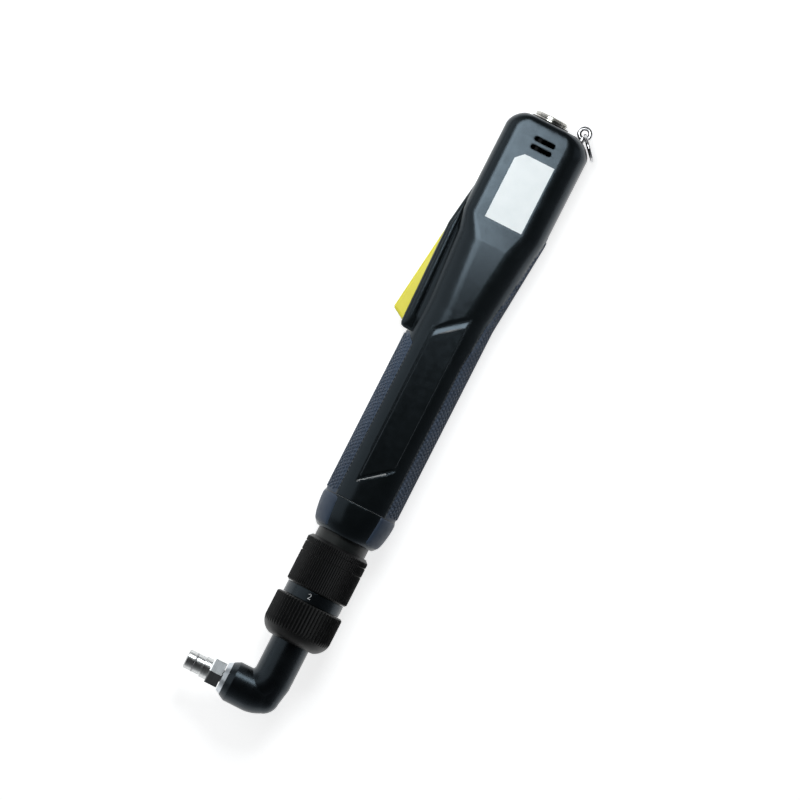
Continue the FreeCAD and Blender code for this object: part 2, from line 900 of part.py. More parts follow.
seat_low = d.return_spring_height - d.return_seat_length / 2
seat_high = d.return_spring_height + d.return_seat_length / 2
switch_low = d.foot_height - d.switch_length / 2
switch_high = d.foot_height + d.switch_length / 2
switch_back = d.switch_depth - d.switch_front
ribs = [box(-d.return_seat_reach, d.return_seat_wall - d.return_seat_reach, seat_low, seat_high, -far, far)]
for low in (switch_low, switch_high - d.board_rib_width):
    ribs.append(box(-d.switch_front, switch_back, low, low + d.board_rib_width, -far, far))
board_bottom = -d.board_level - d.board_thickness
for low in (d.board_low, d.board_high - d.board_rib_width):
    ribs.append(box(d.board_near, d.board_far, low, low + d.board_rib_width, -far, board_bottom))
switch_space = box(
    -d.switch_front, switch_back, switch_low, switch_high, -d.switch_half_thickness, d.switch_half_thickness,
)
hollow = cut(cavity, cut(fuse(*ribs, *bosses), switch_space))

# Tail end: holes for the cable socket and the hanging eye
socket_hole = cylinder(d.socket_radius, d.tail_wall + d.overrun * 2, -d.socket_offset, cavity_end - d.overrun)
eye_hole = cylinder(
    d.eye_stud_radius, d.housing_length - d.eye_stud_end + d.overrun, d.eye_back, d.eye_stud_end,
)

skin = outside
for tool in (panel_cutter, panel_mirror, front_pocket, back_pocket):
    skin = cut(skin, tool)
housing = fuse(skin, saddle, rails, spigot)
for tool in (hollow, fuse(*vents), lever_slot, fuse(*bores), pivot_hole, socket_hole, eye_hole):
    housing = cut(housing, tool)
    housing.Refine = False
upper = box(-far, far, -far, d.housing_length + d.overrun, 0, far)
lower = box(-far, far, -far, d.housing_length + d.overrun, -far, 0)
for label, side in (("housing_left", upper), ("housing_right", lower)):
    keep(label, common(housing, side)).Refine = False
doc.recompute()


# Trigger: lever on its pin, switch and return spring
tip_low = slot_low + d.lever_clearance
lever_outline = [
    (-d.pivot_reach - d.lever_eye_radius, d.pivot_height, d.lever_eye_radius),
    (-d.lever_tip_reach, tip_low + d.lever_tip_rise),
    (-d.rail_low_reach, tip_low),
    (-d.lever_low_inner_reach, tip_low),
    (-d.lever_inner_reach, seat_low),
    (-d.lever_inner_reach, d.foot_height - d.foot_root_half_width),
    (-d.foot_reach, d.foot_height - d.foot_half_width),
    (-d.foot_reach, d.foot_height + d.foot_half_width),
    (-d.lever_inner_reach, d.foot_height + d.foot_root_half_width),
    (d.lever_eye_radius - d.pivot_reach, d.pivot_height),
    (-d.pivot_reach, d.pivot_height + d.lever_eye_radius, d.lever_eye_radius),
]
lever = padded("trigger_lever", "XY_Plane", d.lever_half_width * 2, lever_outline)
pocket(
    lever, "XY_Plane", d.rail_half_width * 2,
    disc_outline(-d.pivot_reach, d.pivot_height, d.pivot_radius + d.running_clearance),
)


def near_edges(feature, wanted):
    """Names of the edges of a feature whose middle point is wanted."""
    names = []
    for number, edge in enumerate(feature.Shape.Edges, start=1):
        middle = edge.valueAt((edge.FirstParameter + edge.LastParameter) / 2)
        if wanted(middle):
            names.append(f"Edge{number}")
    return names


def soften(body, radius, wanted):
    """Rounds the wanted edges of the piece made so far."""
    doc.recompute()
    last = body.Tip
    fillet = body.newObject("PartDesign::Fillet", "fillet")
    fillet.Base = (last, near_edges(last, wanted))
    bind(fillet, "Radius", radius)
    body.Tip = fillet


soften(lever, d.lever_tip_round, lambda at: abs(at.z) < d.overrun.value and at.x < -d.rail_peak_reach.value)
soften(
    lever, d.lever_edge_round,
    lambda at: abs(at.z) > d.plunger_radius.value and at.x < -d.rail_low_reach.value + d.overrun.value,
)
keep("trigger_lever", lever)
keep("trigger_pin", fuse(cylinder(
    d.pivot_radius, d.rail_half_width * 2 - d.overrun * 2, -d.pivot_reach, d.pivot_height,
    d.overrun - d.rail_half_width, along="Z",
)))
switch_block = box(
    -d.switch_front, switch_back, switch_low, switch_high, -d.switch_half_thickness, d.switch_half_thickness,
)
plunger_start = d.switch_gap - d.foot_reach
plunger_hole = cylinder(
    d.plunger_radius + d.plunger_clearance, d.switch_depth - d.overrun * 2, -d.switch_front, d.foot_height,
    along="X",
)
keep("switch_body", cut(switch_block, plunger_hole))
plunger = cylinder(d.plunger_radius, d.plunger_depth, plunger_start, d.foot_height, along="X")
keep("switch_plunger", fuse(plunger))


def spring(label, radius, wire, turns, length, rotation, x, y):
    """An open coil spring of a given length that starts at a point and runs along its own axis."""
    spine = doc.addObject("Part::Helix", "spine")
    bind(spine, "Pitch", (length - wire) / turns)
    bind(spine, "Height", length - wire)
    bind(spine, "Radius", radius)
    lead = rotation.multVec(FreeCAD.Vector(0, 0, 1))
    spine.Placement = FreeCAD.Placement(vector(x, y) + lead * (wire.value / 2), rotation)
    profile = doc.addObject("Part::Circle", "profile")
    bind(profile, "Radius", wire / 2)
    upright = FreeCAD.Placement(vector(radius, 0), FreeCAD.Rotation(FreeCAD.Vector(1, 0, 0), QUARTER_TURN))
    profile.Placement = spine.Placement.multiply(upright)
    doc.recompute()
    coil = doc.addObject("Part::Sweep", "coil")
    coil.Sections = [profile]
    coil.Spine = (spine, [f"Edge{number}" for number in range(1, len(spine.Shape.Edges) + 1)])
    coil.Solid = True
    coil.Frenet = True
    return keep(label, coil)


ALONG_X = FreeCAD.Rotation(FreeCAD.Vector(0, 1, 0), QUARTER_TURN)
ALONG_Y = FreeCAD.Rotation(FreeCAD.Vector(1, 0, 0), -QUARTER_TURN)
spring_room = d.lever_inner_reach - d.return_seat_reach
spring(
    "trigger_spring", d.return_spring_radius, d.return_spring_wire, d.return_spring_turns,
    spring_room - d.switch_gap, ALONG_X, d.switch_gap / 2 - d.lever_inner_reach, d.return_spring_height,
)

# Control board with its components, and the bare label
board = box(d.board_near, d.board_far, d.board_low, d.board_high, board_bottom, -d.board_level)
keep("control_board", fuse(board))
board_middle = (d.board_near + d.board_far) / 2
components = [cylinder(
    d.capacitor_radius, d.capacitor_length, board_middle, d.board_low + d.board_rib_width,
    d.capacitor_radius - d.board_level,
)]
for row in range(SIZES["chip_count"]):
    chip_high = d.board_high - d.board_rib_width - d.chip_length * row
    components.append(box(
        board_middle - d.chip_width / 2, board_middle + d.chip_width / 2, chip_high - d.chip_width, chip_high,
        -d.board_level, d.chip_height - d.board_level,
    ))
keep("board_components", fuse(*components))
label_half = d.label_width / 2
label_high = d.housing_length - d.label_from_end
label_outline = [
    (-label_half, label_high - d.label_length),
    (label_half, label_high - d.label_length),
    (label_half, label_high),
    (d.label_clip - label_half, label_high),
    (-label_half, label_high - d.label_clip),
]
keep("rating_label", padded(
    "rating_label", "XY_Plane", d.label_thickness, label_outline, both_ways=False, out=d.tail_half_thickness,
))

# Nose cap and neck
nose_bore = d.spigot_radius + d.turned_clearance
nose_wall_start = d.nose_front_wall - d.nose_length
NOSE_HEIGHT_SHARES = (0, 0.45, 0.77, 0.95, 1)
NOSE_INSET_SHARES = (0, 0.08, 0.36, 0.76, 1)
nose_sections = []
for height_share, inset_share in zip(NOSE_HEIGHT_SHARES, NOSE_INSET_SHARES):
    reach = d.nose_radius + (d.nose_front_radius - d.nose_radius) * inset_share
    half = d.nose_side_height + (d.nose_front_radius - d.nose_side_height) * inset_share
    corner = d.grip_corner + (d.nose_front_radius - d.overrun / 2 - d.grip_corner) * inset_share
    nose_sections.append(section(-d.nose_length * height_share, rounded(reach, reach, half, corner, corner)))
keep("nose_cap", cut(
    loft(nose_sections, ruled=False),
    cylinder(nose_bore, d.overrun - nose_wall_start, y=nose_wall_start),
    cylinder(
        d.neck_collar_radius + d.turned_clearance, d.nose_length + d.overrun, y=-d.nose_length - d.overrun,
    ),
))
flange_start = -d.spigot_length - d.neck_flange_length
neck = turned("neck_tube", [
    (d.neck_bore_radius, -d.spigot_length),
    (d.neck_bore_radius, -d.neck_web_start),
    (d.bush_radius, -d.neck_web_start),
    (d.bush_radius, -d.neck_web_end),
    (d.neck_bore_radius, -d.neck_web_end),
    (d.neck_bore_radius, -d.neck_end),
    (d.neck_thread_radius, -d.neck_end),
    (d.neck_thread_radius, -d.neck_collar_end),
    (d.neck_collar_radius, -d.neck_collar_end),
    (d.neck_collar_radius, flange_start),
    (d.spigot_radius, flange_start),
    (d.spigot_radius, -d.spigot_length),
])
slot_half_width = d.lug_half_width + d.lug_clearance
neck_reach = d.neck_collar_radius + d.overrun
pocket(
    neck, "YZ_Plane", neck_reach * 2,
    box_outline(-d.neck_slot_end, -d.neck_slot_start, -slot_half_width, slot_half_width),
)
keep("neck_tube", neck)


def ribbed(body, radius, depth, count, start, end):
    """Fine straight ribs round a turned nut: one groove, repeated."""
    pitch_half = radius * math.pi / count
    rim = radius + depth
    groove = [(radius - depth, as_size(0)), (rim, -pitch_half * 2), (rim, pitch_half * 2)]
    flute = pocket(body, "XZ_Plane", end - start, groove, out=(start + end) / 2)
    around(body, flute, count, "N_Axis")


first_groove = -d.torque_nut_start - d.nut_groove_first
second_groove = -d.torque_nut_start - d.nut_groove_second
torque_nut = turned("torque_nut", [
    (d.neck_thread_radius + d.turned_clearance, -d.torque_nut_end),
    (d.torque_nut_radius - d.torque_nut_chamfer / 2, -d.torque_nut_end),
    (d.torque_nut_radius, d.torque_nut_chamfer / 2 - d.torque_nut_end),
    (d.torque_nut_radius, second_groove - d.nut_groove_width),
    (d.torque_nut_radius - d.nut_groove_depth, second_groove - d.nut_groove_width / 2),
    (d.torque_nut_radius, second_groove),
    (d.torque_nut_radius, first_groove - d.nut_groove_width),
    (d.torque_nut_radius - d.nut_groove_depth, first_groove - d.nut_groove_width / 2),
    (d.torque_nut_radius, first_groove),
    (d.torque_nut_radius, -d.torque_nut_start - d.torque_nut_chamfer),
    (d.torque_nut_skirt_radius + d.turned_clearance, -d.torque_nut_start),
    (d.torque_nut_skirt_radius, -d.torque_nut_start),
    (d.torque_nut_skirt_radius, -d.torque_nut_step),
    (d.neck_thread_radius + d.turned_clearance, -d.torque_nut_step),
])
ribbed(
    torque_nut, d.torque_nut_radius, d.torque_rib_depth, d.torque_rib_count, d.torque_nut_start - d.overrun,
    d.torque_nut_end + d.overrun,
)
keep("torque_nut", torque_nut)
keep("scale_ring", tube(
    "scale_ring", d.neck_thread_radius, d.scale_ring_radius, -d.scale_ring_end, -d.scale_ring_start,
))
flange_room = d.head_flange_radius + d.lever_clearance
coupling_nut = turned("coupling_nut", [
    (d.head_radius + d.lever_clearance, -d.coupling_nut_end),
    (d.coupling_front_radius, -d.coupling_nut_end),
    (d.coupling_nut_radius, d.coupling_round - d.coupling_nut_end, d.coupling_round),
    (d.coupling_nut_radius, -d.coupling_nut_start - d.torque_nut_chamfer / 2),
    (d.coupling_nut_radius - d.torque_nut_chamfer / 2, -d.coupling_nut_start),
    (d.neck_thread_radius + d.turned_clearance, -d.coupling_nut_start),
    (d.neck_thread_radius + d.turned_clearance, -d.neck_end),
    (flange_room, -d.neck_end),
    (flange_room, d.coupling_lip_length - d.coupling_nut_end),
    (d.head_radius + d.lever_clearance, d.coupling_lip_length - d.coupling_nut_end),
])
ribbed(
    coupling_nut, d.coupling_nut_radius, d.coupling_rib_depth, d.coupling_rib_count,
    d.coupling_nut_start - d.overrun, d.coupling_nut_end - d.coupling_rib_end,
)
keep("coupling_nut", coupling_nut)

# Motor
plate_end = d.gearbox_end + d.motor_plate_length
front_wall_end = plate_end + d.motor_front_wall
can_bore = d.case_radius - d.motor_can_wall
keep("motor_plate", tube("motor_plate", d.motor_bearing_radius, d.case_radius, d.gearbox_end, plate_end))
keep("motor_can", turned("motor_can", [
    (d.motor_bearing_radius, plate_end),
    (d.case_radius, plate_end),
    (d.case_radius, d.motor_end),
    (can_bore, d.motor_end),
    (can_bore, front_wall_end),
    (d.motor_bearing_radius, front_wall_end),
]))
keep("motor_end_cap", turned("motor_end_cap", [
    (d.motor_bearing_radius, d.motor_end - d.motor_cap_spigot),
    (can_bore, d.motor_end - d.motor_cap_spigot),
    (can_bore, d.motor_end),
    (d.case_radius, d.motor_end),
    (d.case_radius, motor_cap_end),
    (d.motor_bearing_radius, motor_cap_end),
]))
motor_bearing_bore = d.motor_shaft_radius + d.running_clearance
keep("motor_bearing_front", tube(
    "motor_bearing_front", motor_bearing_bore, d.motor_bearing_radius, plate_end, front_wall_end,
))
keep("motor_bearing_rear", tube(
    "motor_bearing_rear", motor_bearing_bore, d.motor_bearing_radius, d.motor_end, motor_cap_end,
))
motor_middle = (front_wall_end + d.motor_end) / 2
keep("motor_stator", tube(
    "motor_stator", d.stator_bore, can_bore, motor_middle - d.stator_length / 2,
    motor_middle + d.stator_length / 2,
))
keep("rotor_magnet", tube(
    "rotor_magnet", d.motor_shaft_radius, d.magnet_radius, motor_middle - d.magnet_length / 2,
    motor_middle + d.magnet_length / 2,
))

# Planetary gearbox, with involute teeth by formula
MODULE = SIZES["gear_module"]
PRESSURE = math.radians(SIZES["pressure_angle_degrees"])


def involute(angle):
    return math.tan(angle) - angle


def tooth_outline(teeth, module, root, tip, thinning, turn=0):
    """Corner points of a spur gear with a tooth at the given turn; thinning narrows each tooth."""
    pitch = module * teeth / 2
    base = pitch * math.cos(PRESSURE)
    half_pitch_angle = math.pi / (2 * teeth) - thinning / (2 * pitch)
    low = max(base, root)
    radii = [low + (tip - low) * step / FLANK_STEPS for step in range(FLANK_STEPS + 1)]
    if root < base:
        radii.insert(0, root)
    flank = []
    for radius in radii:
        pressure = math.acos(min(base / radius, 1))
        flank.append((radius, half_pitch_angle + involute(PRESSURE) - involute(pressure)))
    points = []
    for tooth in range(teeth):
        middle = turn + 2 * math.pi * tooth / teeth
        points += [(radius, middle - half) for radius, half in flank]
        points += [(radius, middle + half) for radius, half in reversed(flank)]
    return [FreeCAD.Vector(radius * math.cos(angle), 0, radius * math.sin(angle)) for radius, angle in points]


def tooth_prism(points, start, end, x=0, z=0):
    shift = vector(x, start, z)
    corners = [point + shift for point in points]
    face = Part.Face(Part.makePolygon(corners + corners[:1]))
    return face.extrude(vector(0, as_size(end) - start))


def gear_radii(teeth, addendum_share=GEAR_ADDENDUM_SHARE, dedendum_share=GEAR_DEDENDUM_SHARE):
    pitch = MODULE * teeth / 2
    return pitch - MODULE * dedendum_share, pitch + MODULE * addendum_share


carrier_end = d.tooth_zone_start + d.planet_gap + d.carrier_plate_length
planet_start = carrier_end + d.planet_gap
planet_end = planet_start + d.planet_length
half_backlash = SIZES["gear_backlash"] / 2
sun_points = tooth_outline(SIZES["sun_teeth"], MODULE, *gear_radii(SIZES["sun_teeth"]), half_backlash)
sun_prism = solid_of(tooth_prism(sun_points, planet_start, planet_end + d.planet_gap * 2))
shaft_room = cylinder(d.motor_shaft_radius, d.gearbox_end, y=carrier_end)
keep("sun_gear", cut(sun_prism, shaft_room))
shaft_end = motor_cap_end + d.shaft_tail
keep("motor_shaft", fuse(cylinder(d.motor_shaft_radius, shaft_end - planet_start, y=planet_start)))

planet_circle = MODULE * (SIZES["sun_teeth"] + SIZES["planet_teeth"]) / 2
pins, pin_holes = [], []
for number in range(SIZES["planet_count"]):
    angle = 2 * math.pi * number / SIZES["planet_count"]
    x, z = planet_circle * math.cos(angle), planet_circle * math.sin(angle)
    turn = angle + math.pi / SIZES["planet_teeth"]
    points = tooth_outline(
        SIZES["planet_teeth"], MODULE, *gear_radii(SIZES["planet_teeth"]), half_backlash, turn,
    )
    blank = solid_of(tooth_prism(points, planet_start, planet_end, x, z))
    bore_radius = d.planet_pin_radius + d.running_clearance
    bore = cylinder(bore_radius, d.gearbox_end, as_size(x), carrier_end, as_size(z))
    keep(f"planet_gear_{number + 1}", cut(blank, bore))
    pin_start = d.tooth_zone_start + d.planet_gap
    pins.append(cylinder(
        d.planet_pin_radius, planet_end + d.planet_gap - pin_start, as_size(x), pin_start, as_size(z),
    ))
keep("planet_pins", fuse(*pins))

ring_tip, ring_root = gear_radii(SIZES["ring_teeth"], GEAR_DEDENDUM_SHARE, GEAR_ADDENDUM_SHARE)
case_blank = turned("gearbox_case_blank", [
    (d.carrier_bearing_bore + d.planet_gap * 2, d.gearbox_start),
    (d.case_radius, d.gearbox_start),
    (d.case_radius, d.gearbox_end),
    (d.carrier_bearing_radius, d.gearbox_end),
    (d.carrier_bearing_radius, d.gearbox_start + d.gearbox_front_wall),
    (d.carrier_bearing_bore + d.planet_gap * 2, d.gearbox_start + d.gearbox_front_wall),
])
ring_turn = math.pi / SIZES["ring_teeth"]
ring_points = tooth_outline(SIZES["ring_teeth"], MODULE, ring_tip, ring_root, -half_backlash, ring_turn)
ring_spaces = solid_of(tooth_prism(ring_points, d.tooth_zone_start, d.gearbox_end + d.overrun))
keep("gearbox_case", cut(case_blank, ring_spaces))
bearing_start = d.gearbox_start + d.gearbox_front_wall
keep("carrier_bearing", tube(
    "carrier_bearing", d.carrier_bearing_bore + d.running_clearance, d.carrier_bearing_radius, bearing_start,
    bearing_start + d.carrier_bearing_length,
))
pilot_radius = d.spindle_radius + d.running_clearance
carrier = turned("planet_carrier", [
    (as_size(0), d.carrier_hub_end + d.pilot_depth),
    (pilot_radius, d.carrier_hub_end + d.pilot_depth),
    (pilot_radius, d.carrier_hub_end),
    (d.carrier_bearing_bore, d.carrier_hub_end),
    (d.carrier_bearing_bore, pin_start),
    (d.carrier_plate_radius, pin_start),
    (d.carrier_plate_radius, carrier_end),
    (as_size(0), carrier_end),
])
keep("planet_carrier", cut(carrier, parts["planet_pins"]))


# Torque clutch: cam and plate with balls between them, spring, washer and seat
cam_end = d.carrier_hub_end + d.cam_length
plate_start = d.carrier_hub_end - d.ball_gap
plate_end_y = plate_start - d.plate_length
plate_hub_end = plate_end_y - d.plate_hub_length
balls, pockets = [], []
for number in range(SIZES["ball_count"]):
    angle = 2 * math.pi * number / SIZES["ball_count"]
    across, aside = math.cos(angle), math.sin(angle)
    place = (d.ball_circle * across, d.carrier_hub_end - d.ball_gap / 2, d.ball_circle * aside)
    balls.append(sphere(d.ball_radius, *place))
    pockets.append(sphere(d.ball_radius + d.running_clearance, *place))
ball_pockets = fuse(*pockets)
keep("clutch_balls", fuse(*balls))
cam_blank = tube("clutch_cam_blank", d.carrier_bearing_bore, d.clutch_radius, d.carrier_hub_end, cam_end)
keep("clutch_cam", cut(cam_blank, ball_pockets))
plate_blank = turned("clutch_plate_blank", [
    (as_size(0), plate_hub_end),
    (d.plate_hub_radius, plate_hub_end),
    (d.plate_hub_radius, plate_end_y),
    (d.clutch_radius, plate_end_y),
    (d.clutch_radius, plate_start),
    (as_size(0), plate_start),
])
pocket(plate_blank, "XZ_Plane", d.neck_end, hexagon(d.spindle_hex + d.running_clearance))
keep("clutch_plate", cut(plate_blank, ball_pockets))
washer_end = d.washer_length - d.seat_start
spring(
    "clutch_spring", d.clutch_spring_radius, d.clutch_spring_wire, d.clutch_spring_turns,
    plate_end_y - washer_end - d.switch_gap, ALONG_Y, as_size(0), washer_end + d.switch_gap / 2,
)
keep("thrust_washer", tube("thrust_washer", d.seat_bore, d.seat_radius, -d.seat_start, washer_end))
spring_seat = tube("spring_seat", d.seat_bore, d.seat_radius, -d.seat_end, -d.seat_start)
seat_middle = (d.seat_start + d.seat_end) / 2
seat_length = d.seat_end - d.seat_start
lug_root = (d.seat_radius + d.seat_bore) / 2
for inner, outer in ((lug_root, d.lug_reach), (-d.lug_reach, -lug_root)):
    pad(
        spring_seat, "XZ_Plane", seat_length,
        box_outline(inner, outer, -d.lug_half_width, d.lug_half_width), out=seat_middle,
    )
keep("spring_seat", spring_seat)

# Drive spindle and its bush
pilot_end = d.carrier_hub_end + d.pilot_depth - d.planet_gap
collar_start = d.bush_flange_length - d.neck_web_start
spindle = turned("drive_spindle", [
    (as_size(0), -d.spindle_end),
    (d.spindle_radius, -d.spindle_end),
    (d.spindle_radius, collar_start + d.running_clearance * 2),
    (d.spindle_collar_radius, collar_start + d.running_clearance * 2),
    (d.spindle_collar_radius, collar_start + d.spindle_collar_length),
    (d.spindle_radius, collar_start + d.spindle_collar_length),
    (d.spindle_radius, pilot_end),
    (as_size(0), pilot_end),
])
plate_middle = (plate_start + plate_hub_end) / 2
pad(spindle, "XZ_Plane", plate_start - plate_hub_end, hexagon(d.spindle_hex), out=-plate_middle)
pad(
    spindle, "XZ_Plane", d.drive_hex_length + d.overrun * 2, hexagon(d.drive_hex),
    out=d.spindle_end + d.drive_hex_length / 2 - d.overrun,
)
keep("drive_spindle", spindle)
spindle_bore = d.spindle_radius + d.running_clearance
keep("spindle_bush", turned("spindle_bush", [
    (spindle_bore, -d.neck_web_end),
    (d.bush_radius, -d.neck_web_end),
    (d.bush_radius, -d.neck_web_start),
    (d.bush_flange_radius, -d.neck_web_start),
    (d.bush_flange_radius, collar_start),
    (spindle_bore, collar_start),
]))

# Angle head: pipe, bend and barrel with stepped bores
bend_low = d.elbow_offset - d.output_height
pipe = turned("head_pipe", [
    (as_size(0), bend_low),
    (d.head_radius, bend_low),
    (d.head_radius, -d.neck_end - d.head_flange_length),
    (d.head_flange_radius, -d.neck_end - d.head_flange_length),
    (d.head_flange_radius, -d.neck_end),
    (d.neck_bore_radius - d.turned_clearance, -d.neck_end),
    (d.neck_bore_radius - d.turned_clearance, d.head_spigot_length - d.neck_end),
    (as_size(0), d.head_spigot_length - d.neck_end),
])
bend = turned(
    "head_bend", disc_outline(d.elbow_offset, as_size(0), d.head_radius), turn=QUARTER_TURN, plane="XZ_Plane",
    backwards=True, right=-d.elbow_offset, out=-bend_low,
)
barrel_solid = turned_on_x("head_barrel", [
    (-d.barrel_reach, as_size(0)),
    (d.barrel_radius - d.dome_start, as_size(0)),
    (-d.dome_start, d.barrel_radius, d.barrel_radius),
    (d.barrel_nose_length - d.barrel_reach, d.barrel_radius),
    (-d.barrel_reach, d.barrel_nose_radius),
])
bush_end = d.rear_bush_length - d.chamber_back
bearing_end = d.output_bearing_start + d.output_bearing_length
second_bearing_low = d.pinion_bearing_shoulder + d.pinion_bearing_length * 2 + d.pinion_spacer
pinion_bore = turned("pinion_bore", [
    (as_size(0), -d.chamber_low),
    (d.chamber_foot_radius, -d.chamber_low),
    (d.pinion_chamber_radius, -d.chamber_shoulder),
    (d.pinion_chamber_radius, -second_bearing_low),
    (d.pinion_bearing_radius, -second_bearing_low),
    (d.pinion_bearing_radius, d.head_spigot_length + d.overrun - d.neck_end),
    (as_size(0), d.head_spigot_length + d.overrun - d.neck_end),
])
output_bore = turned_on_x("output_bore", [
    (-d.output_reach, as_size(0)),
    (bush_end, as_size(0)),
    (bush_end, d.rear_bush_radius),
    (-d.chamber_back, d.rear_bush_radius),
    (-d.chamber_back, d.gear_chamber_radius),
    (-d.output_bearing_start, d.gear_chamber_radius),
    (-d.output_bearing_start, d.output_bearing_radius),
    (-d.output_reach, d.output_bearing_radius),
])
keep("angle_head", cut(fuse(pipe, bend, barrel_solid), pinion_bore, output_bore))

# Bevel pair: both gears share an apex where the two axes cross
BEVEL = SIZES["bevel_module"]
BEVEL_TEETH = SIZES["bevel_teeth"]
CONE = math.radians(QUARTER_TURN / 2)
BEVEL_REACH = BEVEL * BEVEL_TEETH / 2
CONE_LENGTH = BEVEL_REACH / math.sin(CONE)
BEVEL_TIP = BEVEL * GEAR_ADDENDUM_SHARE
BEVEL_ROOT = BEVEL * GEAR_DEDENDUM_SHARE
FACE_SHARE = (CONE_LENGTH - SIZES["bevel_face"]) / CONE_LENGTH


def on_back_cone(lift):
    """Radius and height above the apex of a point on the back cone, lifted off the pitch circle."""
    return BEVEL_REACH + lift * math.cos(CONE), BEVEL_REACH / math.tan(CONE) - lift * math.sin(CONE)


def gap_cutter(turn):
    """The space between two bevel teeth, drawn towards the apex."""
    virtual = CONE_LENGTH
    base = virtual * math.cos(PRESSURE)
    half = math.pi * BEVEL / 4 + SIZES["bevel_backlash"] / 4
    rise = BEVEL_TIP * 2 + BEVEL_ROOT
    lifts = [rise * step / FLANK_STEPS - BEVEL_ROOT for step in range(FLANK_STEPS + 1)]
    wires = []
    near, distant = BEVEL_REACH * FACE_SHARE * FACE_SHARE, BEVEL_REACH + BEVEL_ROOT * 2
    for level in (near, distant):
        left, right = [], []
        for lift in lifts:
            radius = max(virtual + lift, base)
            lean = involute(math.acos(base / radius)) - involute(PRESSURE)
            angle = (half / virtual + lean) / math.cos(CONE)
            rho, height = on_back_cone(lift)
            reach = rho * level / height
            for side, bearing in ((left, turn - angle), (right, turn + angle)):
                side.append(FreeCAD.Vector(reach * math.cos(bearing), reach * math.sin(bearing), level))
        corners = left + right[::-1]
        wires.append(Part.makePolygon(corners + corners[:1]))
    return Part.makeLoft(wires, True, True)


def bevel_shape(bore, hub_radius, hub_top, first_gap):
    """A bevel gear about Z with its apex at the origin."""
    tip_radius, tip_height = on_back_cone(BEVEL_TIP)
    back_radius, back_height = on_back_cone(-BEVEL_ROOT * 2)
    outline = [
        (bore, tip_height * FACE_SHARE),
        (tip_radius * FACE_SHARE, tip_height * FACE_SHARE),
        (tip_radius, tip_height),
        (back_radius, back_height),
        (hub_radius, back_height),
        (hub_radius, hub_top),
        (bore, hub_top),
    ]
    corners = [FreeCAD.Vector(radius, 0, height) for radius, height in outline]
    face = Part.Face(Part.makePolygon(corners + corners[:1]))
    blank = face.revolve(FreeCAD.Vector(), FreeCAD.Vector(0, 0, 1), FULL_TURN)
    step = 2 * math.pi / BEVEL_TEETH
    return blank.cut([gap_cutter(first_gap + step * number) for number in range(BEVEL_TEETH)])


apex = vector(0, -d.output_height)
pinion_axes = (FreeCAD.Vector(-1, 0, 0), FreeCAD.Vector(0, 0, 1), FreeCAD.Vector(0, 1, 0))
to_pinion = FreeCAD.Rotation(*pinion_axes, "ZXY")
to_gear = FreeCAD.Rotation(FreeCAD.Vector(0, 1, 0), FreeCAD.Vector(0, 0, -1), FreeCAD.Vector(-1, 0, 0), "ZXY")
hub_top = SIZES["output_height"] - second_bearing_low.value - SIZES["running_clearance"] * 2
pinion_teeth = bevel_shape(0, SIZES["pinion_socket_radius"], hub_top, math.pi / BEVEL_TEETH)
pinion_teeth.Placement = FreeCAD.Placement(apex, to_pinion)
pinion_stem = turned("pinion_stem", [
    (as_size(0), -second_bearing_low - d.overrun),
    (d.spindle_radius, -second_bearing_low - d.overrun),
    (d.spindle_radius, -d.pinion_bearing_shoulder),
    (d.pinion_socket_radius, d.running_clearance * 2 - d.pinion_bearing_shoulder),
    (d.pinion_socket_radius, -d.pinion_socket_start),
    (as_size(0), -d.pinion_socket_start),
])
socket_low = d.spindle_end + d.drive_hex_length + d.planet_gap
pocket(
    pinion_stem, "XZ_Plane", socket_low - d.pinion_socket_start + d.overrun,
    hexagon(d.drive_hex + d.drive_hex_clearance * 2),
    out=(socket_low + d.pinion_socket_start - d.overrun) / 2,
)
keep("pinion_shaft", fuse(pinion_stem, solid_of(pinion_teeth)))
first_low = d.pinion_bearing_shoulder + d.pinion_bearing_length
keep("pinion_bearing_upper", tube(
    "pinion_bearing_upper", spindle_bore, d.pinion_bearing_radius, -first_low, -d.pinion_bearing_shoulder,
))
keep("bearing_spacer", tube(
    "bearing_spacer", d.pinion_socket_radius, d.pinion_bearing_radius,
    -first_low - d.pinion_spacer, -first_low,
))
keep("pinion_bearing_lower", tube(
    "pinion_bearing_lower", spindle_bore, d.pinion_bearing_radius,
    -second_bearing_low, -first_low - d.pinion_spacer,
))
gear_top = SIZES["output_bearing_start"] - SIZES["running_clearance"] * 2
gear_hub = SIZES["rear_bush_radius"] + SIZES["bevel_hub"]
gear_shape = bevel_shape(SIZES["output_shaft_radius"], gear_hub, gear_top, 0)
gear_shape.Placement = FreeCAD.Placement(apex, to_gear)
keep("bevel_gear", fuse(solid_of(gear_shape)))

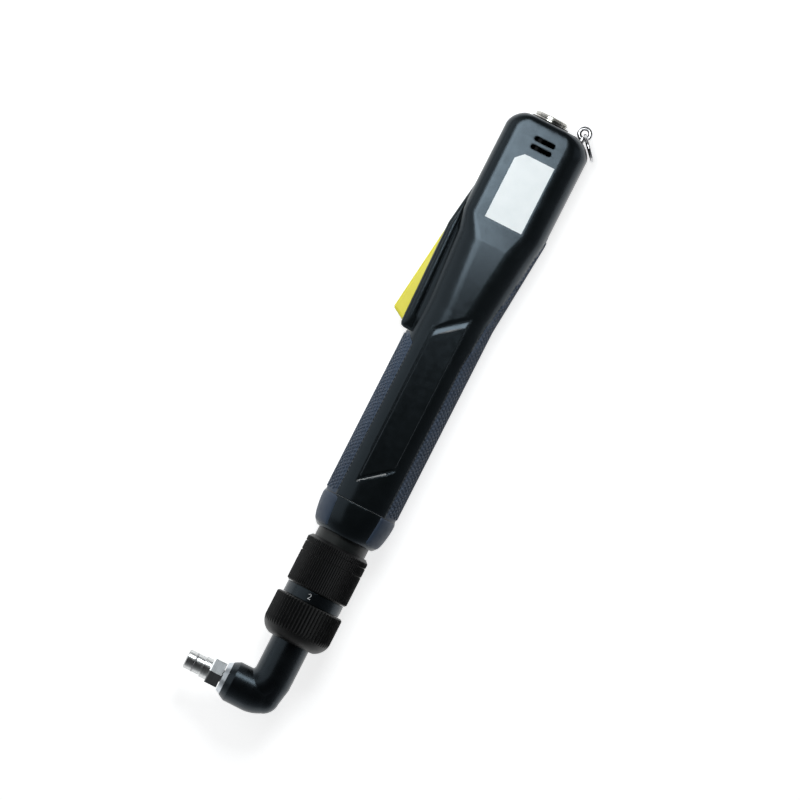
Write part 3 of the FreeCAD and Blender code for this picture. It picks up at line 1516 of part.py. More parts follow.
# Output side: spindle with its hexagon and bit socket, bearings, nut, clip and ball
hex_start = d.barrel_reach + d.output_nut_length + d.output_hex_gap
hex_end = hex_start + d.output_hex_length
clip_reach = d.output_reach - d.clip_from_tip
clip_half = d.clip_wire_radius + d.running_clearance
line_reach = d.output_reach - d.line_groove_from_tip
line_half = d.line_groove_width / 2
clip_floor = d.holder_radius - d.clip_depth
output = turned_on_x("output_spindle_blank", [
    (-d.output_reach, as_size(0)),
    (bush_end - d.planet_gap, as_size(0)),
    (bush_end - d.planet_gap, d.output_shaft_radius),
    (-as_size(gear_top), d.output_shaft_radius),
    (-as_size(gear_top), d.spindle_radius),
    (-hex_start, d.spindle_radius),
    (-hex_start, d.holder_root_radius),
    (line_half - line_reach, d.holder_root_radius),
    (line_half - line_reach, d.holder_radius - d.line_groove_depth),
    (-line_half - line_reach, d.holder_radius - d.line_groove_depth),
    (-line_half - line_reach, d.holder_radius),
    (clip_half - clip_reach, d.holder_radius),
    (clip_half - clip_reach, clip_floor),
    (-clip_half - clip_reach, clip_floor),
    (-clip_half - clip_reach, d.holder_radius),
    (d.holder_chamfer - d.output_reach, d.holder_radius),
    (-d.output_reach, d.holder_radius - d.holder_chamfer),
])
HEX_TURN_SHARE = 0.5
pad(
    output, "YZ_Plane", d.output_hex_length, hexagon(d.output_hex, HEX_TURN_SHARE), right=-d.output_height,
    out=-(hex_start + hex_end) / 2,
)
pocket(output, "YZ_Plane", d.bit_depth * 2, hexagon(d.bit_hex), right=-d.output_height, out=-d.output_reach)
ball_hole = cylinder(
    d.bit_ball_radius + d.running_clearance, d.output_hex, -clip_reach, -d.output_height, along="Z",
)
keep("output_spindle", cut(output, ball_hole))
keep("bit_ball", fuse(sphere(d.bit_ball_radius, -clip_reach, -d.output_height, d.bit_ball_offset)))
clip_radius = clip_floor + d.clip_wire_radius
keep("bit_clip", turned(
    "bit_clip", disc_outline(-clip_reach, clip_radius, d.clip_wire_radius), axis="H_Axis",
    turn=FULL_TURN - SIZES["clip_opening_degrees"], up=-d.output_height,
))
keep("output_bearing", turned_on_x("output_bearing", [
    (-bearing_end, spindle_bore),
    (-d.output_bearing_start, spindle_bore),
    (-d.output_bearing_start, d.output_bearing_radius),
    (-bearing_end, d.output_bearing_radius),
]))
keep("rear_bush", turned_on_x("rear_bush", [
    (-d.chamber_back, d.output_shaft_radius + d.running_clearance),
    (bush_end, d.output_shaft_radius + d.running_clearance),
    (bush_end, d.rear_bush_radius),
    (-d.chamber_back, d.rear_bush_radius),
]))
keep("output_nut", turned_on_x("output_nut", [
    (-d.barrel_reach - d.output_nut_length, d.output_nut_bore),
    (-bearing_end, d.output_nut_bore),
    (-bearing_end, d.output_bearing_radius),
    (-d.barrel_reach, d.output_bearing_radius),
    (-d.barrel_reach, d.output_nut_radius),
    (-d.barrel_reach - d.output_nut_length, d.output_nut_front_radius),
]))

# Cable socket
socket_tail = cavity_end - d.socket_flange_length - d.socket_tail
socket_mouth = d.housing_length + d.socket_proud
nut_face = d.housing_length + d.socket_nut_length
keep("connector_shell", turned("connector_shell", [
    (d.socket_bore, socket_tail),
    (d.socket_radius, socket_tail),
    (d.socket_radius, cavity_end - d.socket_flange_length),
    (d.socket_flange_radius, cavity_end - d.socket_flange_length),
    (d.socket_flange_radius, cavity_end),
    (d.socket_radius, cavity_end),
    (d.socket_radius, nut_face),
    (d.socket_radius - d.socket_relief_depth, nut_face),
    (d.socket_radius - d.socket_relief_depth, nut_face + d.socket_relief_width),
    (d.socket_radius, nut_face + d.socket_relief_width),
    (d.socket_radius, socket_mouth - d.socket_chamfer),
    (d.socket_radius - d.socket_chamfer, socket_mouth),
    (d.socket_bore, socket_mouth),
], right=-d.socket_offset))
keep("connector_nut", turned("connector_nut", [
    (d.socket_radius, d.housing_length),
    (d.socket_nut_radius, d.housing_length),
    (d.socket_nut_radius, nut_face),
    (d.socket_radius, nut_face),
], right=-d.socket_offset))
insert_top = socket_mouth - d.socket_depth
insert_blank = cylinder(d.socket_bore, d.insert_length, -d.socket_offset, insert_top - d.insert_length)
contacts = []
for number in range(SIZES["contact_count"]):
    angle = 2 * math.pi * number / SIZES["contact_count"]
    contacts.append(cylinder(
        d.contact_radius, d.insert_length + d.contact_proud + d.contact_tail,
        d.contact_circle * math.cos(angle) - d.socket_offset, insert_top - d.insert_length - d.contact_tail,
        d.contact_circle * math.sin(angle),
    ))
keep("connector_pins", fuse(*contacts))
keep("connector_insert", cut(insert_blank, parts["connector_pins"]))

# Hanging eye on the tail corner, and the loose ring in it
eye_y = d.housing_length + d.eye_rise
eye_loop = doc.addObject("Part::Torus", "eye_loop")
bind(eye_loop, "Radius1", d.eye_radius)
bind(eye_loop, "Radius2", d.eye_wire_radius)
put(eye_loop, d.eye_back, eye_y)
eye_stud = cylinder(
    d.eye_stud_radius, eye_y - d.eye_radius + d.eye_wire_radius / 2 - d.eye_stud_end,
    d.eye_back, d.eye_stud_end,
)
keep("hang_eye", fuse(eye_loop, eye_stud))
rest = math.radians(SIZES["ring_rest_degrees"])
ring_loop = doc.addObject("Part::Torus", "ring_loop")
bind(ring_loop, "Radius1", d.ring_radius)
bind(ring_loop, "Radius2", d.ring_wire_radius)
ring_reach = d.ring_slack + d.ring_radius
ring_axis = FreeCAD.Vector(math.sin(rest), -math.cos(rest), 0)
put(
    ring_loop, d.eye_back + ring_reach * math.cos(rest), eye_y + ring_reach * math.sin(rest), 0,
    FreeCAD.Rotation(FreeCAD.Vector(0, 0, 1), ring_axis),
)
keep("hang_ring", fuse(ring_loop))


# Finished pieces go to their files


def box_of(features):
    bounds = FreeCAD.BoundBox()
    for feature in features:
        bounds.add(feature.Shape.optimalBoundingBox(False))
    return bounds


doc.recompute()
failed = [feature for feature in doc.Objects if {"Invalid", "Error"} & set(feature.State)]
if failed:
    raise SystemExit("failed: " + ", ".join(feature.Name for feature in failed))
for label, piece in parts.items():
    if piece.Shape.isNull() or not piece.Shape.isValid():
        raise SystemExit(f"{label} has no valid shape")
bounds = box_of(parts.values())
datum = FreeCAD.Vector(-bounds.Center.x, -bounds.Center.y, -bounds.ZMin)
os.makedirs("parts", exist_ok=True)
for label, piece in parts.items():
    for axis in "xyz":
        piece.setExpression(f"Placement.Base.{axis}", None)
    piece.Placement = FreeCAD.Placement(datum + piece.Placement.Base, piece.Placement.Rotation)
    piece.Shape.exportStep(f"parts/{label}.step")
print("datum", datum.x, datum.y, datum.z)
for label, piece in parts.items():
    print(label, len(piece.Shape.Solids), round(piece.Shape.Volume, 2))
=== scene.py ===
import math

import bmesh
import bpy
from mathutils import Matrix, Vector
from mathutils.bvhtree import BVHTree


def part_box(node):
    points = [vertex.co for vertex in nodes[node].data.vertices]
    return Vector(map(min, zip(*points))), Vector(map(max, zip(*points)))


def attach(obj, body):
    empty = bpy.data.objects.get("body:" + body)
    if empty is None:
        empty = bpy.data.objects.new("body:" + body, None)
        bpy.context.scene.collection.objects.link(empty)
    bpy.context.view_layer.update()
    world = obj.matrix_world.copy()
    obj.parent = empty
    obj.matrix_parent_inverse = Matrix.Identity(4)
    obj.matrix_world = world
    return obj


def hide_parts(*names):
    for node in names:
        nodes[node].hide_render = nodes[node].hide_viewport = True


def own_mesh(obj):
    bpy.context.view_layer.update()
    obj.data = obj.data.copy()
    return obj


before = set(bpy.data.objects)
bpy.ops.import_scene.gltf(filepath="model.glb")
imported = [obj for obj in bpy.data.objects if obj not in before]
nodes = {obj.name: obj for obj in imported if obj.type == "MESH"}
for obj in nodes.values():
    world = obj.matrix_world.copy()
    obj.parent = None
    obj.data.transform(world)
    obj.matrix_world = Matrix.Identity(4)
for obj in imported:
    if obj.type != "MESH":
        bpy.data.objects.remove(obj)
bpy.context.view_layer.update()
MM = 0.001

# Places that the frame gives: the drive axis, the seam between the housing and its nose cap, the tail's end,
# the top of the socket's insert, and the end of the hexagon behind the bit holder

HEX_LENGTH = 6.2 * MM

neck_low, neck_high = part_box("neck_tube")
AXIS = (neck_low + neck_high) / 2
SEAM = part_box("nose_cap")[1].y
TAIL_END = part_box("housing_left")[1].y
INSERT_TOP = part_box("connector_insert")[1].y
HEX_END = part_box("output_nut")[0].x - HEX_LENGTH

# The photograph's own view: straight down on the tool, with the tail leaning to the right

IMAGE_PIXELS = 800
PIXEL = 0.4675 * MM
LEAN = math.radians(26.95)
MIDDLE_SIDE = -5.9 * MM
MIDDLE_UP = 52.4 * MM
CAMERA_DISTANCE = 6.0
CLIP_END = 24.0
SENSOR = 36.0

picture_right = Vector((math.cos(LEAN), math.sin(LEAN), 0))
picture_up = Vector((-math.sin(LEAN), math.cos(LEAN), 0))
middle = Vector((AXIS.x + MIDDLE_SIDE, SEAM + MIDDLE_UP, AXIS.z))

# Materials: each noise has its scale per metre, and its useful values lie between NOISE_LOW and NOISE_HIGH

NOISE_LOW = 0.3
NOISE_HIGH = 0.7
LEVEL_FADE = 0.3 * MM
BEVEL_SAMPLES = 4


class Paint:
    """A procedural material: a Principled shader whose colour, roughness and relief come from noise."""

    def __init__(self, name):
        self.material = bpy.data.materials.new(name)
        self.material.use_nodes = True
        self.tree = self.material.node_tree
        self.tree.nodes.clear()
        self.out = self.add("ShaderNodeOutputMaterial")
        self.shader = self.add("ShaderNodeBsdfPrincipled")
        self.link(self.shader.outputs["BSDF"], self.out.inputs["Surface"])
        self.place = self.add("ShaderNodeTexCoord").outputs["Object"]

    def add(self, kind, **settings):
        node = self.tree.nodes.new(kind)
        for key, value in settings.items():
            setattr(node, key, value)
        return node

    def link(self, source, target):
        self.tree.links.new(source, target)

    def stretched(self, scale):
        """The object's own coordinates, stretched by a factor along each axis."""
        mapping = self.add("ShaderNodeMapping")
        self.link(self.place, mapping.inputs["Vector"])
        mapping.inputs["Scale"].default_value = scale
        return mapping.outputs["Vector"]

    def noise(self, scale, detail=3.0, roughness=0.55, place=None):
        node = self.add("ShaderNodeTexNoise")
        node.inputs["Scale"].default_value = scale
        node.inputs["Detail"].default_value = detail
        node.inputs["Roughness"].default_value = roughness
        self.link(place or self.place, node.inputs["Vector"])
        return node.outputs["Fac"]

    def ramp(self, factor, low, high):
        """A colour between two, by a noise."""
        node = self.add("ShaderNodeValToRGB")
        node.color_ramp.elements[0].position = NOISE_LOW
        node.color_ramp.elements[1].position = NOISE_HIGH
        node.color_ramp.elements[0].color = (*low, 1)
        node.color_ramp.elements[1].color = (*high, 1)
        self.link(factor, node.inputs["Fac"])
        return node.outputs["Color"]

    def below(self, level, inside, outside, axis="Y"):
        """One colour below a level along an axis and another above it."""
        split = self.add("ShaderNodeSeparateXYZ")
        self.link(self.place, split.inputs["Vector"])
        step = self.add("ShaderNodeMapRange")
        step.inputs["From Min"].default_value = level - LEVEL_FADE
        step.inputs["From Max"].default_value = level + LEVEL_FADE
        self.link(split.outputs[axis], step.inputs["Value"])
        blend = self.add("ShaderNodeMix", data_type="RGBA")
        self.link(step.outputs["Result"], blend.inputs["Factor"])
        self.link(inside, blend.inputs["A"])
        self.link(outside, blend.inputs["B"])
        return blend.outputs["Result"]

    def spread(self, factor, low, high):
        """A number between two, by a noise."""
        node = self.add("ShaderNodeMapRange")
        node.inputs["From Min"].default_value = NOISE_LOW
        node.inputs["From Max"].default_value = NOISE_HIGH
        node.inputs["To Min"].default_value = low
        node.inputs["To Max"].default_value = high
        self.link(factor, node.inputs["Value"])
        return node.outputs["Result"]

    def relief(self, height, strength, distance, soft=0.0):
        """Bump from a height, over edges that are softened by a small radius where one is given."""
        node = self.add("ShaderNodeBump")
        node.inputs["Strength"].default_value = strength
        node.inputs["Distance"].default_value = distance
        self.link(height, node.inputs["Height"])
        if soft:
            rounded = self.add("ShaderNodeBevel", samples=BEVEL_SAMPLES)
            rounded.inputs["Radius"].default_value = soft
            self.link(rounded.outputs["Normal"], node.inputs["Normal"])
        self.link(node.outputs["Normal"], self.shader.inputs["Normal"])

    def set(self, **values):
        """Links a node's output to the shader's socket, or sets a plain number on the socket itself."""
        for key, value in values.items():
            socket = self.shader.inputs[key.replace("_", " ")]
            if hasattr(value, "is_output"):
                self.link(value, socket)
            else:
                socket.default_value = value


WHITE = (1.0, 1.0, 1.0, 1.0)
COOL = (0.68, 0.85, 1.0, 1.0)
# Near black: painted shade for metal inside the housing and inside the socket's insert
SHADE_BLACK = ((0.0010, 0.0010, 0.0010), (0.0020, 0.0020, 0.0020))
# A darker steel: painted shade on the hexagon behind the bit holder
SHADED_STEEL = ((0.115, 0.120, 0.124), (0.168, 0.175, 0.181))
ALONG_X = (2600.0, 90.0, 90.0)
ALONG_Y = (60.0, 1800.0, 60.0)
EVEN = (300.0, 300.0, 300.0)

HANDLING_SCALE = 90.0
HANDLING_DETAIL = 4.0
SHEEN_SCALE = 260.0
SHEEN_DETAIL = 5.0
GRAIN_DETAIL = 2.0
GRAIN_DEPTH = 0.06 * MM
STAIN_SCALE = 420.0
STAIN_DETAIL = 4.0
MARK_DETAIL = 3.0
MARK_ROUGHNESS = 0.6
MARK_DEPTH = 0.03 * MM


def plastic(name, low, high, rough, grain=2200.0, soft=0.3 * MM, strength=0.12, gloss=0.5, tint=WHITE):
    """Moulded plastic or rubber: a fine grain, with faint handling marks in its colour and gloss."""
    p = Paint(name)
    p.set(Base_Color=p.ramp(p.noise(HANDLING_SCALE, HANDLING_DETAIL), low, high))
    p.set(Roughness=p.spread(p.noise(SHEEN_SCALE, SHEEN_DETAIL), *rough))
    p.set(Specular_IOR_Level=gloss, Specular_Tint=tint)
    p.relief(p.noise(grain, GRAIN_DETAIL), strength, GRAIN_DEPTH, soft)
    return p.material


def metal(
    name, low, high, rough, stretch=ALONG_Y, metallic=1.0, soft=0.15 * MM, strength=0.15, gloss=0.5,
    shaded_below=None, shaded_above=None,
):
    """Turned metal: fine tool marks run round the axis that the stretch is fine along; past a given level
    along Y or X the colour turns to a painted shade.
    """
    p = Paint(name)
    marks = p.noise(1.0, MARK_DETAIL, MARK_ROUGHNESS, p.stretched(stretch))
    colour = p.ramp(marks, low, high)
    if shaded_below is not None:
        colour = p.below(shaded_below, p.ramp(marks, *SHADE_BLACK), colour)
    if shaded_above is not None:
        colour = p.below(shaded_above, colour, p.ramp(marks, *SHADED_STEEL), "X")
    p.set(Base_Color=colour, Metallic=metallic, Specular_IOR_Level=gloss)
    p.set(Roughness=p.spread(p.noise(STAIN_SCALE, STAIN_DETAIL), *rough))
    p.relief(marks, strength, MARK_DEPTH, soft)
    return p.material


# Each finish: its darkest and palest colour, and its lowest and highest roughness

housing_black = plastic(
    "housing_plastic", (0.0036, 0.0048, 0.0052), (0.0054, 0.0070, 0.0077), (0.20, 0.27),
    soft=0.9 * MM, gloss=0.45, tint=COOL,
)
rubber = plastic(
    "grip_rubber", (0.030, 0.048, 0.082), (0.043, 0.068, 0.112), (0.50, 0.62),
    grain=3200.0, strength=0.2,
)
yellow = plastic(
    "trigger_plastic", (0.89, 0.78, 0.050), (0.94, 0.84, 0.080), (0.34, 0.44),
    soft=0.6 * MM, strength=0.05,
)
label_film = plastic(
    "label_film", (0.81, 0.85, 0.86), (0.87, 0.90, 0.91), (0.34, 0.46),
    grain=800.0, soft=0.1 * MM, strength=0.04,
)
insulator = plastic(
    "insulator", (0.0040, 0.0040, 0.0042), (0.0065, 0.0065, 0.0068), (0.45, 0.55),
    gloss=0.3,
)
blackened = metal(
    "blackened_steel", (0.0036, 0.0036, 0.0038), (0.0066, 0.0066, 0.0070), (0.36, 0.46),
    metallic=0.0, gloss=0.35,
)
black_enamel = plastic(
    "black_enamel", (0.0030, 0.0036, 0.0042), (0.0046, 0.0054, 0.0062), (0.24, 0.32),
    grain=700.0, soft=0.5 * MM, strength=0.06, gloss=0.50, tint=COOL,
)
neck_metal = metal(
    "anodised_neck", (0.008, 0.010, 0.010), (0.015, 0.018, 0.018), (0.32, 0.42),
    metallic=0.0, gloss=0.4,
)
steel = metal("turned_steel", (0.30, 0.30, 0.31), (0.52, 0.52, 0.53), (0.18, 0.28), ALONG_X)
# Painted shade: the spindle turns a darker steel over the hexagon behind the bit holder
bright_steel = metal(
    "ground_steel", (0.52, 0.53, 0.53), (0.74, 0.75, 0.75), (0.26, 0.36), ALONG_X,
    strength=0.25, shaded_above=HEX_END,
)
grey_steel = metal("grey_steel", (0.50, 0.53, 0.56), (0.68, 0.72, 0.76), (0.26, 0.36), ALONG_X)
nickel = metal("nickel_plate", (0.42, 0.41, 0.38), (0.58, 0.57, 0.54), (0.14, 0.24))
# Painted shade: the socket's shell turns near black below the tail's end, inside the housing
socket_nickel = metal(
    "socket_plate", (0.42, 0.41, 0.38), (0.58, 0.57, 0.54), (0.14, 0.24),
    shaded_below=TAIL_END,
)
chrome = metal(
    "bright_plate", (0.42, 0.42, 0.43), (0.58, 0.58, 0.59), (0.08, 0.16), EVEN,
    strength=0.05,
)
bronze = metal("sintered_bronze", (0.36, 0.24, 0.10), (0.50, 0.34, 0.15), (0.35, 0.50))
# Painted shade: the contact pins turn near black below the insert's top, inside the insert
gilt = metal(
    "gilt_contacts", (0.70, 0.50, 0.16), (0.82, 0.62, 0.24), (0.15, 0.25),
    shaded_below=INSERT_TOP,
)
copper = metal("wound_copper", (0.50, 0.20, 0.08), (0.66, 0.30, 0.13), (0.30, 0.45))
board_green = plastic("board_laminate", (0.010, 0.100, 0.035), (0.020, 0.140, 0.050), (0.30, 0.40))
plunger_red = plastic("plunger_plastic", (0.50, 0.04, 0.03), (0.60, 0.06, 0.04), (0.35, 0.45))
white_ink = plastic(
    "white_ink", (0.62, 0.63, 0.64), (0.72, 0.73, 0.74), (0.40, 0.50),
    soft=0.05 * MM, strength=0.05,
)
# A pale grey for thin trims along edges of the black housing: a painted highlight
highlight_grey = plastic(
    "painted_edge_highlight", (0.10, 0.105, 0.11), (0.15, 0.155, 0.16), (0.20, 0.30),
    soft=0.05 * MM,
)

# The CAD nodes of each finish. Those that aren't named here are of turned steel

FINISHES = [
    (housing_black, ["housing_left", "housing_right", "nose_cap"]),
    (rubber, ["grip_front", "grip_back"]),
    (yellow, ["trigger_lever"]),
    (label_film, ["rating_label"]),
    (insulator, ["connector_insert", "switch_body", "motor_end_cap", "board_components"]),
    (blackened, ["torque_nut", "coupling_nut", "housing_screws", "connector_nut"]),
    (black_enamel, ["scale_ring", "angle_head"]),
    (neck_metal, ["neck_tube"]),
    (bright_steel, ["output_spindle"]),
    (grey_steel, ["output_nut"]),
    (socket_nickel, ["connector_shell"]),
    (chrome, ["hang_eye", "hang_ring"]),
    (gilt, ["connector_pins"]),
    (bronze, ["spindle_bush", "rear_bush"]),
    (copper, ["motor_stator"]),
    (board_green, ["control_board"]),
    (plunger_red, ["switch_plunger"]),
]
finish_of = {name: material for material, names in FINISHES for name in names}
for name, node in nodes.items():
    node.data.materials.clear()
    node.data.materials.append(finish_of.get(name, steel))

# Pieces that lie on the CAD surfaces or take the place of a CAD node

REACH = 60 * MM
HIGH_ABOVE = 1.0


def surface(node):
    """A CAD node's surface, for finding where a line meets it."""
    mesh = nodes[node].data
    return BVHTree.FromPolygons([v.co for v in mesh.vertices], [p.vertices for p in mesh.polygons])


def outward(turn):
    """The direction away from the drive axis: 0 is the tool's back, a quarter turn is towards the camera."""
    return Vector((math.cos(turn), 0, math.sin(turn)))


def on_surface(tree, turn, y):
    """Where a line aimed at the drive axis from outside first meets the surface, or None."""
    out = outward(turn)
    centre = Vector((AXIS.x, y, AXIS.z))
    return tree.ray_cast(centre + out * REACH, -out, REACH)[0]


def placed(name, data):
    """A new object in the scene."""
    obj = bpy.data.objects.new(name, data)
    bpy.context.scene.collection.objects.link(obj)
    return obj


def shape_of(mesh):
    """A mesh's points and faces."""
    return [vertex.co.copy() for vertex in mesh.vertices], [tuple(face.vertices) for face in mesh.polygons]


def final_shape(obj):
    """The points and faces of a text, or of an object after its modifiers."""
    mesh = bpy.data.meshes.new_from_object(obj.evaluated_get(bpy.context.evaluated_depsgraph_get()))
    shape = shape_of(mesh)
    bpy.data.meshes.remove(mesh)
    return shape


def piece(name, points, faces, material, body="housing", smooth=False):
    """A piece from points and faces, which rides a body and has a material."""
    mesh = bpy.data.meshes.new(name)
    mesh.from_pydata(points, [], faces)
    mesh.validate()
    mesh.polygons.foreach_set("use_smooth", [smooth] * len(mesh.polygons))
    mesh.materials.append(material)
    obj = placed(name, mesh)
    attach(obj, body)
    return obj


def rings_joined(count, start, rings, closed=False):
    """Faces of a tube through rings of points in a row, with its ends capped or joined up."""
    faces = []
    steps = rings if closed else rings - 1
    for ring in range(steps):
        a = start + ring * count
        b = start + (ring + 1) % rings * count
        faces += [(a + i, a + (i + 1) % count, b + (i + 1) % count, b + i) for i in range(count)]
    if not closed:
        faces.append(tuple(reversed(range(start, start + count))))
        faces.append(tuple(range(start + (rings - 1) * count, start + rings * count)))
    return faces


def tube(points, rings, closed=False):
    """Faces of one tube through all the points, which are in rings of the same size."""
    return rings_joined(len(points) // rings, 0, rings, closed)


housing_sides = [surface("housing_left"), surface("housing_right")]


def side_height(x, y):
    """How far the housing's side stands off the tool's middle plane, by place from axis and seam."""
    above = Vector((AXIS.x + x, SEAM + y, HIGH_ABOVE))
    hits = [tree.ray_cast(above, Vector((0, 0, -1)))[0] for tree in housing_sides]
    return max((hit.z - AXIS.z for hit in hits if hit), default=0.0)


def both_sides(name, points, faces, material=housing_black):
    """A housing trim from points by axis, seam and middle plane, with its mirror image on the far side."""
    near = [Vector((AXIS.x + x, SEAM + y, AXIS.z + z)) for x, y, z in points]
    far = [Vector((AXIS.x + x, SEAM + y, AXIS.z - z)) for x, y, z in points]
    turned = [tuple(len(points) + i for i in reversed(face)) for face in faces]
    return piece(name, near + far, faces + turned, material)


RAIL_LOW = 84.5 * MM
RAIL_HIGH = 156.0 * MM
RAIL_LEVEL = 9.5 * MM
RAIL_OUTER = -24.0 * MM
RAIL_INNER = -14.0 * MM
RAIL_SCAN = 0.1 * MM
RAIL_SLACK = 0.06 * MM
RAIL_CROWN = 1.1 * MM
RAIL_SINK = 0.3 * MM
RAIL_EDGE = 0.04 * MM
RAIL_STATIONS = 60
RAIL_STEPS = 24
RAIL_FADE = 6.0 * MM


def rail_crowns():
    """The crowned top of the rails on both sides of the trigger slot."""
    points = []
    stations = 0
    scan = [RAIL_OUTER + RAIL_SCAN * k for k in range(int((RAIL_INNER - RAIL_OUTER) / RAIL_SCAN))]
    for station in range(RAIL_STATIONS + 1):
        y = RAIL_LOW + (RAIL_HIGH - RAIL_LOW) * station / RAIL_STATIONS
        flat = [x for x in scan if abs(side_height(x, y) - RAIL_LEVEL) < RAIL_SLACK]
        if not flat:
            continue
        middle_x = (flat[0] + flat[-1]) / 2
        half = (flat[-1] - flat[0]) / 2
        fade = min(1.0, (y - RAIL_LOW) / RAIL_FADE, (RAIL_HIGH - y) / RAIL_FADE)
        crown = RAIL_CROWN * math.sin(fade * math.pi / 2)
        for step in range(RAIL_STEPS + 1):
            across = 2 * step / RAIL_STEPS - 1
            height = RAIL_LEVEL - RAIL_EDGE + crown * (1 - across * across)
            points.append((middle_x + half * across, y, height))
        points.append((flat[-1], y, RAIL_LEVEL - RAIL_SINK))
        points.append((flat[0], y, RAIL_LEVEL - RAIL_SINK))
        stations += 1
    return both_sides("rail_crowns", points, tube(points, stations))


rail_crowns()

PANEL_HALF = 7.6 * MM
PANEL_LOW = 9.4 * MM
PANEL_HIGH = 89.0 * MM
PANEL_RISE = 12.5 * MM
PANEL_SLOPE = PANEL_RISE / (2 * PANEL_HALF)
PANEL_FLOOR = 16.5 * MM
PANEL_ROUND = 1.8 * MM
PANEL_ROUND_STEPS = 6
THIRD_CORNER = 3
PLATE_GAPS = (0.75 * MM, 0.75 * MM, 1.6 * MM, 1.0 * MM)
PLATE_TOP_GAPS = (1.1 * MM, 1.1 * MM, 2.0 * MM, 4.0 * MM)
PLATE_SINK = 0.2 * MM
PLATE_WALL = 0.1 * MM
PLATE_RISE = 0.5 * MM


def panel_outline(left, right, low, high):
    """The sunk panel's outline with each edge moved inwards and each corner rounded."""
    x_left = left - PANEL_HALF
    x_right = PANEL_HALF - right
    foot = PANEL_LOW + low
    head = PANEL_HIGH - high
    square = ((x_left, foot), (x_right, foot), (x_right, head), (x_left, head))
    corners = [Vector((x, y + PANEL_SLOPE * (x + PANEL_HALF))) for x, y in square]
    outline = []
    for k, corner in enumerate(corners):
        before = (corners[k - 1] - corner).normalized() * PANEL_ROUND
        after = (corners[(k + 1) % len(corners)] - corner).normalized() * PANEL_ROUND
        for step in range(PANEL_ROUND_STEPS + 1):
            share = step / PANEL_ROUND_STEPS
            outline.append(corner + before * (1 - share) ** 2 + after * share ** 2)
    return outline


def panel_plates():
    """The raised field of the sunk panel, with a long bevel at its head and a groove round it."""
    levels = [
        (PLATE_GAPS, -PLATE_SINK),
        (PLATE_GAPS, PLATE_WALL),
        (PLATE_TOP_GAPS, PLATE_RISE),
    ]
    points = []
    for gaps, rise in levels:
        points += [(place.x, place.y, PANEL_FLOOR + rise) for place in panel_outline(*gaps)]
    return both_sides("panel_plates", points, tube(points, len(levels)))


panel_plates()

RIDGE_LOW = 24.0 * MM
RIDGE_HIGH = 91.5 * MM
RIDGE_OUTER = -10.2 * MM
RIDGE_INNER = -7.55 * MM
SKIN_PROBE = 0.4 * MM
RIDGE_SINK = 0.5 * MM
RIDGE_EDGE = 0.03 * MM
RIDGE_FADE = 3.0 * MM
RIDGE_STATIONS = 40


def panel_ridges():
    """The housing's skin carried straight on to the groove at the panel's front edge."""
    points = []
    for station in range(RIDGE_STATIONS + 1):
        y = RIDGE_LOW + (RIDGE_HIGH - RIDGE_LOW) * station / RIDGE_STATIONS
        fade = min(1.0, (y - RIDGE_LOW) / RIDGE_FADE, (RIDGE_HIGH - y) / RIDGE_FADE)
        outer = side_height(RIDGE_OUTER, y) - RIDGE_EDGE
        slope = (outer - side_height(RIDGE_OUTER - SKIN_PROBE, y)) / SKIN_PROBE
        straight = outer + slope * (RIDGE_INNER - RIDGE_OUTER)
        hidden = side_height(RIDGE_INNER, y) - RIDGE_EDGE
        points.append((RIDGE_OUTER, y, outer))
        points.append((RIDGE_INNER, y, hidden + (straight - hidden) * fade))
        points.append((RIDGE_INNER, y, hidden - RIDGE_SINK))
        points.append((RIDGE_OUTER, y, outer - RIDGE_SINK))
    return both_sides("panel_ridges", points, tube(points, RIDGE_STATIONS + 1))


panel_ridges()

LIP_GAPS = (0.15 * MM, 0.15 * MM, -0.9 * MM, 0.0)
LIP_WIDTH = 0.8 * MM
LIP_DROP = 0.2 * MM
LIP_PROUD = 0.03 * MM
LIP_SINK = 0.7 * MM
LIP_SHARE = 0.85


def panel_lips():
    """The sloping edge at the panel's foot, which turns up at the front like a hook, pale grey as a painted
    highlight.
    """
    # The first corner's rounding, and most of the straight edge to the next corner
    path = panel_outline(*LIP_GAPS)[: PANEL_ROUND_STEPS + 2]
    path[-1] = path[-2] + (path[-1] - path[-2]) * LIP_SHARE
    points = []
    for k, place in enumerate(path):
        along = (path[min(k + 1, len(path) - 1)] - path[max(k - 1, 0)]).normalized()
        inward = Vector((-along.y, along.x))
        inner = place + inward * LIP_WIDTH
        skin = place - inward * SKIN_PROBE
        level = side_height(skin.x, skin.y) + LIP_PROUD
        points.append((inner.x, inner.y, level - LIP_DROP))
        points.append((place.x, place.y, level))
        points.append((place.x, place.y, level - LIP_SINK))
        points.append((inner.x, inner.y, level - LIP_SINK))
    return both_sides("panel_lips", points, tube(points, len(path)), highlight_grey)


panel_lips()

CREST_WIDTH = 0.9 * MM
CREST_HEIGHT = 0.1 * MM
CREST_SINK = 0.15 * MM
CREST_STATIONS = 16
CREST_START = 0.08
CREST_END = 0.97
CREST_TAPER = 0.1


